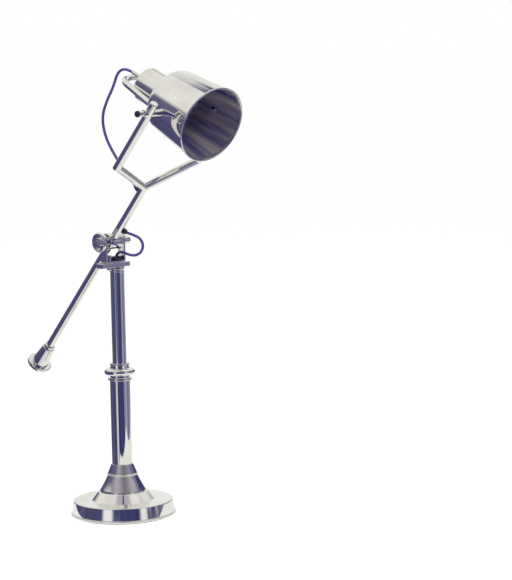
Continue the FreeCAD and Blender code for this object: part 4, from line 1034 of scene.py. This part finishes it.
@dataclass
class ForkedArm:
    """The arm tube, the slanted bars and prongs of the fork, its bushes, and the two glands for the
    leads."""

    radius: float = 7.6
    below: float = 302.0
    half_width: float = 98.3
    prong_over: float = 24.0
    prong_edge: float = 1.6
    gland_reach: float = 33.5
    gland_turn: float = 39.0
    upper_gland_back: float = 15.0
    bush_radius: float = 6.4
    bush_stand: float = 1.2
    bolt_bore: float = 3.66
    around: int = 96

    @property
    def splay(self) -> float:
        """Angle in degrees between the arm and each slanted bar."""
        return math.degrees(math.atan2(self.half_width, LAYOUT.fork_rise))

    @property
    def mitre(self) -> float:
        """Slope of the cuts between arm, bars and prongs."""
        return math.tan(math.radians(self.splay / 2))

    def across(self, side: int = 1) -> np.ndarray:
        """Returns how far each point round a rod lies towards its side of the fork."""
        return self.radius * np.sin(round_angles(self.around)) * side

    def build(self, shop: Workshop) -> None:
        """Makes the pieces of the arm and its fork."""
        apex, arm = LAYOUT.apex_reach, LAYOUT.arm
        # The arm's top is cut to a ridge: height = apex - mitre * |radius * sin t|.
        stem = rod(self.radius, -self.below, apex - self.mitre * np.abs(self.across()), 17)
        shop.piece("arm_tube", stem.at(arm), Body.ARM)
        for side, name in ((-1, "near"), (1, "far")):
            slant = arm @ shift(z=apex) @ spin("x", -side * self.splay)
            shop.piece(f"fork_bar_{name}", self.bar(side).at(slant), Body.ARM)
            corner = arm @ shift(0, self.half_width * side, apex + LAYOUT.fork_rise)
            shop.piece(f"fork_prong_{name}", self.prong(side).at(corner), Body.ARM)
        through = arm @ shift(z=LAYOUT.head_reach) @ spin("x", -90)
        inner, outer = (self.half_width + side * (self.radius + self.bush_stand) for side in (-1, 1))
        bore, bush = self.bolt_bore, self.bush_radius
        ring = [(bore, inner), (bush, inner, 0.4), (bush, outer, 0.4), (bore, outer)]
        shop.turned("prong_bushes", Body.ARM, ring, 64, through, pair=True)
        for node, wide, shoulder, tip, end, edge, place in (
            (
                "lower_gland", 5.6, 12.4, 3.92, 15.6, 0.8,
                shift(z=self.gland_reach) @ spin("z", self.gland_turn) @ spin("y", 90)
            ),
            (
                "upper_gland", 4.6, 13.6, 3.68, 19.6, 0.6,
                shift(z=apex - self.upper_gland_back) @ spin("y", -90)
            ),
        ):
            gland = [
                (2.75, 6.1), (3.45, 6.1), (3.45, 7.7), (wide, 7.7, 0.5), (wide, shoulder, edge),
                (tip, end, 0.6), (2.75, end),
            ]
            shop.turned(node, Body.ARM, gland, 48, arm @ place, Slot.PLASTIC)

    def bar(self, side: int) -> Skin:
        """A slanted bar. Its foot rises to the cut against the arm on one flank and against its twin on the
        other."""
        across, reach = self.across(side), math.hypot(self.half_width, LAYOUT.fork_rise)
        foot = np.where(across > 0, self.mitre * across, -across / math.tan(math.radians(self.splay)))
        return rod(self.radius, foot, reach + self.mitre * across, 9)

    def prong(self, side: int) -> Skin:
        """A prong: a mitred foot against its bar and a flat closed top with a rounded edge."""
        rows, bends, edge = 9, 7, self.prong_edge
        top = LAYOUT.prong_pivot + self.prong_over - edge
        turn = np.concatenate([np.zeros(rows), np.linspace(0, math.pi / 2, bends)])[:, None]
        share = np.concatenate([np.linspace(0, 1, rows), np.ones(bends)])[:, None]
        angle = round_angles(self.around)
        out = np.stack([np.cos(angle), np.sin(angle)], 1)
        height = -self.mitre * self.across(side) * (1 - share) + (top + edge * np.sin(turn)) * share
        radius = self.radius - edge + edge * np.cos(turn)
        points = np.concatenate([radius[:, :, None] * out, height[:, :, None]], 2)
        lift = np.broadcast_to(np.sin(turn)[:, :, None], (rows + bends, self.around, 1))
        return grid_skin(points, np.concatenate([np.cos(turn)[:, :, None] * out, lift], 2))


@dataclass
class Counterweight:
    """Neck ring, tapered body and the wide flanged foot on the low end of the arm."""

    arm_bore: float = 7.66
    arm_end: float = -302.0
    neck_low: float = -288.0
    neck_length: float = 7.0
    neck_radius: float = 10.6
    body_length: float = 42.0
    top_radius: float = 11.4
    low_radius: float = 16.4
    flange_radius: float = 24.0
    flange_thick: float = 8.0
    button_radius: float = 17.0

    def build(self, shop: Workshop) -> None:
        """Makes the pieces of the counterweight."""
        bore, neck, high, flange = self.arm_bore, self.neck_radius, self.neck_low, self.flange_radius
        top = high - self.neck_length
        low = top - self.body_length
        under = low - self.flange_thick
        ring = [(bore, top), (neck, top, 2.2), (neck, high, 2.2), (bore, high)]
        shop.turned("weight_neck", Body.ARM, ring, 80, LAYOUT.arm)
        body = [(0, low), (self.low_radius, low, 0.6), (self.top_radius, top, 1.6), (bore, top)]
        shop.turned(
            "counterweight", Body.ARM, [*body, (bore, self.arm_end), (0, self.arm_end)], 96, LAYOUT.arm
        )
        foot = [
            (0, under - 2.0), (10.2, under - 2.0, 1.5), (self.button_radius, under, 1.0),
            (flange, under, 2.6),
            (flange, low, 2.6), (0, low),
        ]
        shop.turned("weight_foot", Body.ARM, foot, 96, LAYOUT.arm)


@dataclass
class Head:
    """Drum shade with its rolled rim, reflector, rear can with the lampholder, gland and bent handle."""

    rim_forward: float = 61.3
    rim_radius: float = 70.6
    back: float = 59.0
    back_radius: float = 59.0
    shoulder: float = 21.0
    wall: float = 1.2
    bead: float = 1.7
    liner_skin: float = 1.6
    liner_wall: float = 0.9
    liner_mouth: float = 27.0
    can_radius: float = 33.5
    can_length: float = 64.0
    can_edge: float = 5.0
    can_flange: float = 2.5
    outlet: tuple[float, float] = (-14.0, -18.0)
    handle_radius: float = 6.0
    handle_pitch: float = 4.3
    handle_drop: float = 9.0
    handle_foot: float = 44.0
    handle_back: float = 36.3
    handle_reach: float = 99.0
    handle_bend: float = 29.5
    handle_root: float = 14.0
    clip: tuple[float, float, float] = (6.0, 2.2, 9.0)
    clip_out: float = 71.7

    def drum(self, level: float | np.ndarray) -> float | np.ndarray:
        """Outer radius of the drum's straight side at a height along its axis."""
        return self.rim_radius - math.tan(self.slope) * (self.rim_forward - level)

    @property
    def slope(self) -> float:
        """Angle of the drum's side to its axis, in radians."""
        return math.atan2(self.rim_radius - self.back_radius, self.rim_forward + self.back)

    @property
    def flat(self) -> float:
        """Radius where the rounded shoulder meets the flat back."""
        middle = self.shoulder - self.back
        return self.drum(
            middle - self.shoulder * math.sin(self.slope)
        ) - self.shoulder * math.cos(self.slope)

    def side(self, skin: float, front: float) -> list[list[float]]:
        """Points of a surface a skin's depth inside the drum, from the front to the flat back."""
        bend = self.shoulder - skin
        angle = np.linspace(-self.slope, -math.pi / 2, 15)
        arc = [self.flat + bend * np.cos(angle), self.shoulder - self.back + bend * np.sin(angle)]
        return [[self.drum(front) - skin / math.cos(self.slope), front], *np.stack(arc, 1).tolist()]

    def reach_of(self, height: np.ndarray) -> np.ndarray:
        """Outer radius of the drum at any height, the rounded shoulder included."""
        middle = self.shoulder - self.back
        under = np.clip(middle - height, 0, self.shoulder)
        curve = self.flat + np.sqrt(np.maximum(self.shoulder**2 - under**2, 0))
        return np.where(height > middle - self.shoulder * math.sin(self.slope), self.drum(height), curve)

    def build(self, shop: Workshop) -> None:
        """Makes the pieces of the head."""
        head, back, end = LAYOUT.head, -self.back, -self.back - self.can_length
        shop.turned("shade", Body.HEAD, self.shell(), 176, head)
        front, level = self.rim_forward - 2 * self.bead, self.liner_skin - self.back
        liner = [
            *self.side(self.liner_skin, front), (self.liner_mouth, level),
            (self.liner_mouth, level + self.liner_wall),
            *self.side(self.liner_skin + self.liner_wall, front)[::-1],
        ]
        shop.turned("reflector", Body.HEAD, liner, 176, head, Slot.REFLECTOR)
        radius, wall, flange = self.can_radius, self.wall, self.can_radius + self.can_flange
        can = [
            (0, end), (radius, end, self.can_edge), (radius, back - 2.0, 0.4), (flange, back - 2.0, 0.5),
            (flange, back), (radius - wall, back), (radius - wall, end + wall, 4.0), (0, end + wall),
        ]
        shop.turned("rear_can", Body.HEAD, can, 144, head, steps=8)
        low = end + 1.6
        holder = [
            (0, low), (6.0, low), (6.0, low + 6.0), (19.0, low + 6.0, 1.0), (19.0, low + 50.0, 1.5),
            (14.0, low + 50.0, 0.8), (14.0, low + 20.0), (0, low + 20.0),
        ]
        shop.turned("lampholder", Body.HEAD, holder, 80, head, Slot.PLASTIC)
        gland = [
            (2.75, -1.2), (3.45, -1.2), (3.45, 0.1), (5.6, 0.1, 0.4), (5.6, 6.0, 0.8), (3.8, 6.0, 0.4),
            (3.8, 24.0, 0.8), (2.75, 24.0),
        ]
        shop.turned("head_gland", Body.HEAD, gland, 56, head @ shift(*self.outlet, end) @ spin("y", 180))
        shop.piece("rear_handle", self.handle().at(head), Body.HEAD)
        clip, level = block(self.clip, 0.6), self.rim_forward - self.bead - 3.0 - self.clip[2] / 2
        pair = clip.at(shift(0, -self.clip_out, level)) + clip.at(shift(0, self.clip_out, level))
        shop.piece("rim_clips", pair.at(head), Body.HEAD)

    def shell(self) -> Corners:
        """Corners of the shade: outside, the mouth at the back, inside, and the rim rolled over nearly a
        turn."""
        mouth, back, front = self.can_radius - self.can_edge, -self.back, self.rim_forward - self.bead * 1.2
        turn = np.linspace(math.pi * 1.25, -math.pi / 2, 20)
        at, bead = self.rim_radius - self.wall / 2, self.bead
        roll = np.stack([at + bead * np.cos(turn), self.rim_forward + bead * np.sin(turn)], 1).tolist()
        inside = self.side(self.wall, front)[::-1]
        return [*self.side(0.0, front), (mouth, back), (mouth, self.wall + back), *inside, *roll]

    def handle(self) -> Skin:
        """A rod bent to a U whose two ends follow the drum's back.

        The middle line is straight runs joined by arcs, pitched up a little. At each end, every line of the
        rod runs on until it meets the drum: the place is found by halving, on the whole ring at once.
        """
        back, reach, bend, root = self.handle_back, self.handle_reach, self.handle_bend, self.handle_root
        wide = self.handle_foot + root * (self.handle_foot - back) / reach
        line = rounded([(-wide, root), (-back, -reach, bend), (back, -reach, bend), (wide, root)], False, 14)
        tilt = math.radians(self.handle_pitch)
        path = np.stack([line[:, 1] * math.sin(tilt), line[:, 0], line[:, 1] * math.cos(tilt)], 1)
        path += (self.handle_drop, 0, -self.back)
        tangent = np.gradient(path, axis=0)
        tangent[0], tangent[-1] = path[1] - path[0], path[-1] - path[-2]
        upright = np.array([math.cos(tilt), 0, -math.sin(tilt)])
        other = unit(np.cross(unit(tangent), upright))
        around = 48
        angle = round_angles(around)[None, :, None]
        out = np.cos(angle) * upright + np.sin(angle) * other[:, None]
        rings = path[:, None] + self.handle_radius * out
        for end, inner in ((0, 1), (len(path) - 1, len(path) - 2)):
            start, stop = rings[inner], rings[end]
            low, high = np.zeros(around), np.ones(around)
            for _ in range(40):
                middle = (low + high) / 2
                p = start + (stop - start) * middle[:, None]
                met = (np.hypot(p[:, 0], p[:, 1]) < self.reach_of(p[:, 2])) & (p[:, 2] > -self.back)
                high, low = np.where(met, middle, high), np.where(met, low, middle)
            rings[end] = start + (stop - start) * (low[:, None] - 0.002)
        return grid_skin(rings, out)


@dataclass
class HeadPivots:
    """Bosses on the drum, bolts, lock nut, the small tilt knob with its dark tip, and the domed nut
    opposite."""

    head: Head
    bore: float = 3.66
    bolt_radius: float = 3.6
    boss_radius: float = 7.0
    boss_out: float = 89.2
    seat: float = 107.4
    knob_near: float = 111.7
    knob_length: float = 11.0
    knob_radius: float = 5.2

    def build(self, shop: Workshop) -> None:
        """Makes the pieces of the two head pivots."""
        turned, near = LAYOUT.head @ spin("x", -90), LAYOUT.head @ spin("x", 90)
        bore, bolt, nut, seat = self.bore, self.bolt_radius, self.boss_radius, self.seat
        inner, start, end = self.head.drum(nut) + 0.1, self.head.drum(-6.4) - 2.6, self.knob_near + 4.4
        boss = [(bore, inner), (nut, inner, 0.3), (5.6, self.boss_out, 0.4), (bore, self.boss_out)]
        shop.turned("pivot_bosses", Body.HEAD, boss, 64, turned, pair=True)
        pin = [
            (0, start - 3.0), (6.4, start - 3.0, 1.5), (6.4, start, 0.2), (bolt, start), (bolt, end),
            (0, end)
        ]
        shop.turned("head_bolts", Body.HEAD, pin, 64, turned, pair=True)
        lock = [(bore, seat), (nut, seat, 0.4), (nut, seat + 4.0, 0.8), (bore, seat + 4.0)]
        shop.turned("lock_nut", Body.HEAD, lock, 64, near)
        low, far, wide = self.knob_near, self.knob_near + self.knob_length, self.knob_radius
        hollow = [(0, end + 0.6), (bore, end + 0.6)]
        waist = bow((wide, low + 0.4), (wide, far - 0.4), 26.0, 12)
        knob = [(bore, low), *waist, (5.0, far), (0, far), *hollow]
        shop.turned("tilt_knob", Body.TILT_KNOB, knob, 64, near)
        tip = [(0, far), (6.0, far, 0.8), (6.0, far + 5.0, 2.0), (0, far + 5.0)]
        shop.turned("tilt_knob_tip", Body.TILT_KNOB, tip, 64, near, Slot.PLASTIC)
        top = end + 4.0
        acorn = [(bore, seat), (6.2, seat, 0.4), (6.2, top, 3.9), (0, top), *hollow]
        shop.turned("acorn_nut", Body.HEAD, acorn, 64, turned)


@dataclass
class Lead:
    """A short round lead in a dark sheath that runs between two bodies."""

    node: str
    points: Corners
    bodies: tuple[Body, Body]
    radius: float = 2.6

    def line(self) -> np.ndarray:
        """Points of the smooth line that the lead follows, in millimetres."""
        curve = bpy.data.curves.new(f"{self.node}_line", "CURVE")
        curve.dimensions = "3D"
        spline = curve.splines.new("NURBS")
        spline.points.add(len(self.points) - 1)
        for point, place in zip(spline.points, self.points):
            point.co = (*[c * MM for c in place], 1.0)
        spline.order_u = 3
        spline.use_endpoint_u = True
        spline.resolution_u = 16
        holder = shown(f"{self.node}_line", curve)
        bpy.context.view_layer.update()
        mesh = bpy.data.meshes.new_from_object(holder.evaluated_get(bpy.context.evaluated_depsgraph_get()))
        found = np.array([v.co for v in mesh.vertices], float) / MM
        bpy.data.objects.remove(holder)
        bpy.data.curves.remove(curve)
        bpy.data.meshes.remove(mesh)
        return found

    def build(self, shop: Workshop) -> None:
        line = self.line()
        made = make_object(f"{self.node}_piece", carried(line, self.radius))
        shop.finish(made, self.node, Slot.SHEATH, None)
        first, last = [[c * MM for c in p] for p in (self.points[0], self.points[-1])]
        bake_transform(made)


# The studio.


@dataclass(frozen=True)
class Viewpoint:
    """The camera that the photograph's own perspective gives, in metres and degrees."""

    azimuth: float = 49.1964
    distance: float = 4.25053
    height: float = 0.942614
    pitch: float = 6.95365
    roll: float = 1.14678
    pan: float = 3.52651
    focal_pixels: float = 2262.83
    long_side: float = 580.0
    sensor_mm: float = 36.0

    @property
    def towards(self) -> np.ndarray:
        """Level direction from the lamp to the camera."""
        a = math.radians(self.azimuth)
        return np.array([math.sin(a), -math.cos(a), 0.0])

    @property
    def rightwards(self) -> np.ndarray:
        """Level direction to the camera's right."""
        a = math.radians(self.azimuth)
        return np.array([math.cos(a), math.sin(a), 0.0])

    def build(self) -> None:
        """Makes the camera and makes it the scene's own."""
        up = np.array([0.0, 0.0, 1.0])
        pan, pitch, roll = (math.radians(v) for v in (self.pan, self.pitch, self.roll))
        level = -self.towards * math.cos(pan) + self.rightwards * math.sin(pan)
        right = self.rightwards * math.cos(pan) + self.towards * math.sin(pan)
        forward = level * math.cos(pitch) - up * math.sin(pitch)
        above = up * math.cos(pitch) + level * math.sin(pitch)
        side = right * math.cos(roll) - above * math.sin(roll)
        top = right * math.sin(roll) + above * math.cos(roll)
        data = bpy.data.cameras.new("camera")
        data.sensor_width = self.sensor_mm
        data.lens = self.sensor_mm * self.focal_pixels / self.long_side
        data.clip_end = 100.0
        made = shown("camera", data)
        made.matrix_world = frame_of((side, top, -forward, self.towards * self.distance + up * self.height))
        bpy.context.scene.camera = made


def smooth(value: np.ndarray, low: float, high: float) -> np.ndarray:
    """A soft step from 0 at low to 1 at high: 3 t^2 - 2 t^3 of the share of the way."""
    t = np.clip((value - low) / (high - low), 0, 1)
    return t * t * (3 - 2 * t)


def band(value: np.ndarray, start: float, full: float, fade: float, end: float) -> np.ndarray:
    """A soft band: 0 up to start, 1 from full to fade, and 0 again from end."""
    return smooth(value, start, full) * (1 - smooth(value, fade, end))


def near(value: np.ndarray, place: float | np.ndarray, full: float, end: float) -> np.ndarray:
    """A soft stripe: 1 within full of a place and 0 from end away."""
    return 1 - smooth(np.abs(value - place), full, end)


@dataclass(frozen=True)
class Studio:
    """White sweep, floor, soft lamps, and the dim room that the polished metal mirrors."""

    view: Viewpoint
    room_radius: float = 7.0
    middle_height: float = 0.45
    sheet_front: float = 0.60
    sheet_left: float = 0.24
    sheet_right: float = 0.78
    sheet_rear: float = 1.6
    floor_reach: float = 40.0
    dark: str = "3f4270"
    left: str = "56547b"
    violet: str = "8a84a8"
    screen: str = "a09ca8"
    pale: str = "f4f4f1"

    def build(self) -> None:
        """Makes everything round the lamp that isn't part of it."""
        self.world()
        self.floor()
        self.room()
        self.lamps()
        bpy.context.scene.view_settings.view_transform = "Standard"

    def world(self) -> None:
        """White for what the camera, metal and glass see, and an even soft light for the rest."""
        world = bpy.data.worlds.new("sweep")
        bpy.context.scene.world = world
        tree = cleared(world)
        rays = add(tree, "ShaderNodeLightPath").outputs
        seen = rays["Is Camera Ray"]
        for kind in ("Is Glossy Ray", "Is Transmission Ray"):
            seen = add(tree, "ShaderNodeMath", {"operation": "MAXIMUM"}, i0=seen, i1=rays[kind]).outputs[0]
        light, white = (
            add(
                tree, "ShaderNodeBackground", inputs={"Color": (1, 1, 1, 1), "Strength": strength}
            ).outputs[0]
            for strength in (0.1, 1.0)
        )
        mixed = add(tree, "ShaderNodeMixShader", i0=seen, i1=light, i2=white)
        add(tree, "ShaderNodeOutputWorld", Surface=mixed.outputs[0])

    def stage(
        self, name: str, points: np.ndarray, faces: list, material: bpy.types.Material
    ) -> bpy.types.Object:
        """Makes a stage object from points in metres."""
        mesh = bpy.data.meshes.new(name)
        mesh.from_pydata(points.tolist(), [], faces)
        mesh.materials.append(material)
        made = shown(name, mesh)
        return made

    def only_in_metal(self, made: bpy.types.Object) -> None:
        """Hides a stage object from everything but mirror reflections."""
        for kind in ("camera", "diffuse", "shadow", "transmission", "volume_scatter"):
            setattr(made, f"visible_{kind}", False)

    def floor(self) -> None:
        """A pale floor that goes white towards the camera but keeps the shadow, and its finite mirror
        image."""
        material = bpy.data.materials.new("pale_floor")
        tree = cleared(material)
        seen = add(tree, "ShaderNodeLightPath").outputs["Is Camera Ray"]
        matt = add(tree, "ShaderNodeBsdfDiffuse", inputs={"Color": linear("f4f4f4")}).outputs[0]
        glow = add(tree, "ShaderNodeEmission", inputs={"Color": (1, 1, 1, 1), "Strength": 1.14}).outputs[0]
        share = add(tree, "ShaderNodeMath", {"operation": "MULTIPLY"}, {1: 0.86}, i0=seen).outputs[0]
        mixed = add(tree, "ShaderNodeMixShader", i0=share, i1=matt, i2=glow)
        add(tree, "ShaderNodeOutputMaterial", Surface=mixed.outputs[0])
        far = self.floor_reach
        square = np.array([(x * far, y * far, 0.0) for x, y in ((-1, -1), (1, -1), (1, 1), (-1, 1))])
        self.stage("floor", square, [(0, 1, 2, 3)], material).visible_glossy = False
        plain = bpy.data.materials.new("table_sheet")
        tree = cleared(plain)
        glow = add(tree, "ShaderNodeEmission", inputs={"Color": linear("fbfbf8"), "Strength": 1.0})
        add(tree, "ShaderNodeOutputMaterial", Surface=glow.outputs[0])
        front, right, rear, left = self.sheet_front, self.sheet_right, -self.sheet_rear, -self.sheet_left
        t, r = self.view.towards, self.view.rightwards
        corners = [t * a + r * b for a, b in ((front, left), (front, right), (rear, right), (rear, left))]
        self.only_in_metal(self.stage("table_sheet", np.array(corners), [(0, 1, 2, 3)], plain))

    def tone(self, side: np.ndarray, rise: np.ndarray) -> np.ndarray:
        """Linear colour of the room in a direction.

        The room is light above a level that falls from nearly overhead in front to the floor behind, and
        dark below it: indigo in front and on the left, mid violet on the right. A grey screen hangs over
        the camera with a dark gap in it, a tall soft lamp stands on each side, and a dark beam crosses the
        light part behind.

        Args:
            side: Angle from the camera's direction, positive to the camera's right, in degrees.
            rise: Height above the level, in degrees.

        Returns:
            One row of red, green and blue for each direction.
        """
        names = (self.dark, self.left, self.violet, self.screen, self.pale)
        dark, left, violet, screen, pale = (np.array(linear(c)[:3]) for c in names)
        away = np.abs(side)
        wave = (
            0.5 * np.sin(side / 9.0 + 0.7) + 0.3 * np.sin(side / 4.1 + 2.1) + 0.2 * np.sin(side / 2.3)
        )[:, None]

        def lay(over: np.ndarray | float, share: np.ndarray) -> None:
            """Mixes a colour over what is there by a share for each direction."""
            nonlocal colour
            colour = colour * (1 - share[:, None]) + over * share[:, None]

        colour = np.broadcast_to(dark, (len(side), 3))
        lay(left, 1 - smooth(side, -66, -46))
        colour = colour * (1 + 0.3 * wave)
        lay(0.62 * violet, 0.75 * smooth(rise, 4, 18) * (1 - smooth(side, -82, -64)))
        steel = violet * (0.85, 0.95, 1.1)
        lay(steel, 0.8 * near(side, -15, 5, 9) * band(rise, -12, -8, -2, 2))
        right = band(side, 44, 56, 100, 114)
        lay(violet * (1 + 0.35 * wave) * (1 - 0.15 * smooth(rise, 14, 26))[:, None], right)
        lay(0.9 * screen, band(side, 100, 114, 150, 165) * (1 - smooth(rise, -4, 4)))
        lay(1.9 * violet, near(side, 66, 3, 7) * (1 - smooth(rise, 0, 8)))
        deep = band(rise, -5, -2, 10, 16) * right
        blots = smooth(np.sin(np.radians(19 * side)) + np.sin(np.radians(60 * rise + 7 * side)), 0.3, 1.1)
        lay(0.85 * left, deep)
        lay(0.9 * pale, 0.7 * deep * blots)
        # The screen over the camera, its brighter top and the gap in it.
        folds = 1 + 0.35 * np.cos(np.radians(side + 42) * 3.2)
        lay(screen * folds[:, None], smooth(rise, 20, 31) * (1 - smooth(away, 84, 104)))
        lay(1.5 * screen, smooth(rise, 50, 56) * (1 - smooth(away, 60, 90)))
        lay(dark, band(rise, 52, 57, 68, 74) * (1 - smooth(away, 2.5, 6)))
        # The light part above a level, given on the left and on the right.
        places = [0, 60, 90, 110, 140, 156, 166, 180]
        on_left, on_right = [78, 46, 30, 23, 14, 8, -50, -95], [78, 46, 40, 28, 12, 1, -50, -95]
        level = np.where(side < 0, np.interp(away, places, on_left), np.interp(away, places, on_right))
        lay(pale * (1 + 0.05 * wave), smooth(rise, level - 5, level + 5))
        # A tall lamp on each side. It is bright from just below the level up and dim further down.
        for centre, wide, faint, strong, drift in (
            (-36.0, 11.0, 0.22, 0.75, 4.0), (46.0, 8.0, 0.08, 0.2, 0.0)
        ):
            low = smooth(rise, -5, -1)
            span = np.abs(side - centre + (1 - low) * drift) - wide + (1 - low) * 2
            inside = 1 - smooth(span, -1 - 4 * low, 3 + 2 * low)
            dull = strong + (faint - strong) * smooth(rise, -11.5, -8.5)
            lay(1.0, inside * (low * (1 - smooth(rise, 16, 26)) + dull * (1 - low)))
        # The beam behind, with a soft edge.
        turned = side % 360
        beam = np.interp(turned, [164, 168, 174, 180, 190, 205], [36, 41, 49, 57, 62, 66])
        inside = band(turned, 162, 167, 196, 206)
        lay(screen, 0.25 * inside * near(rise, beam, 2, 6))
        lay(dark, 0.95 * inside * near(rise, beam, 0.8, 2.2))
        return colour

    def room(self) -> None:
        """A ball round the lamp, painted by the room's tone, that only the metal sees."""
        across, rows = 360, 180
        side, rise = np.linspace(-180, 180, across + 1)[:-1], np.linspace(-89.5, 89.5, rows)
        s, e = (grid.ravel() for grid in np.meshgrid(side, rise))
        a, b = np.radians(s), np.radians(e)
        level = np.cos(a)[:, None] * self.view.towards + np.sin(a)[:, None] * self.view.rightwards
        way = np.cos(b)[:, None] * level
        way[:, 2] = np.sin(b)
        points = way * self.room_radius + (0, 0, self.middle_height)
        column, row = np.arange(across), np.arange(rows - 1)[:, None] * across
        after = (column + 1) % across
        quads = np.stack([row + column, row + after, row + across + after, row + across + column], 2)
        material = bpy.data.materials.new("dim_room")
        tree = cleared(material)
        paint = add(tree, "ShaderNodeAttribute", {"attribute_name": "tone"})
        glow = add(tree, "ShaderNodeEmission", inputs={"Strength": 1.0}, Color=paint.outputs["Color"])
        add(tree, "ShaderNodeOutputMaterial", Surface=glow.outputs[0])
        material.cycles.emission_sampling = "NONE"
        made = self.stage("room", points, list(map(tuple, quads.reshape(-1, 4).tolist())), material)
        tone = np.ones((len(points), 4), np.float32)
        tone[:, :3] = self.tone(s, e)
        layer = made.data.attributes.new("tone", "FLOAT_COLOR", "POINT")
        layer.data.foreach_set("color", tone.ravel())
        self.only_in_metal(made)

    def lamps(self) -> None:
        """Three broad soft lamps, one on each side and one overhead, which the metal doesn't mirror."""
        for name, ahead, across, height, size, power in (
            ("left_lamp", 1.6, -1.5, 2.2, 1.6, 45.0),
            ("right_lamp", 1.3, 1.7, 1.9, 1.4, 36.0),
            ("top_lamp", 0.2, -0.3, 2.8, 2.4, 60.0),
        ):
            place = self.view.towards * ahead + self.view.rightwards * across + (0, 0, height)
            data = bpy.data.lights.new(name, "AREA")
            data.size = size
            data.energy = power
            made = shown(name, data)
            back = unit(place - (0, 0, self.middle_height))
            level = unit(np.cross((0, 0, 1.0), back))
            made.matrix_world = frame_of((level, np.cross(back, level), back, place))
            made.visible_glossy = False


HEAD_LEAD = Lead(
    "head_lead",
    [
        (92.51, -28.4, 840.93), (73.1, -28.4, 848.93), (47.0, -25.5, 842.0), (30.0, -23.0, 813.0),
        (8.0, -21.0, 787.0), (-9.0, -19.0, 757.0), (-4.0, -17.0, 722.0), (14.0, -13.6, 691.0),
        (41.84, -10.4, 656.75), (70.08, -10.4, 631.32),
    ],
    (Body.HEAD, Body.ARM),
)
ARM_LEAD = Lead(
    "arm_lead",
    [
        (31.43, -0.58, 540.98), (42.5, 6.5, 537.0), (54.5, 12.5, 530.5), (60.0, 15.0, 518.3),
        (56.0, 13.3, 504.8), (44.5, 10.5, 498.0), (31.0, 7.2, 497.8), (16.0, 4.0, 502.6),
        (3.0, 1.0, 503.2), (-1.3, -0.2, 493.5),
    ],
    (Body.ARM, Body.YOKE),
)


def main() -> None:
    """Builds the camera and the leads first, then the lamp from the table up, and the studio round it."""
    logging.basicConfig(level=logging.INFO, format="%(name)s: %(message)s")
    view = Viewpoint()
    view.build()
    shop = Workshop()
    head = Head()
    parts = (
        HEAD_LEAD, ARM_LEAD, Base(), Column(), Yoke(), ArmPivot(), ForkedArm(), Counterweight(), head,
        HeadPivots(head),
    )
    for part in parts:
        part.build(shop)
        LOG.info("%s done", type(part).__name__)
    Studio(view).build()


if __name__ == "__main__":
    main()
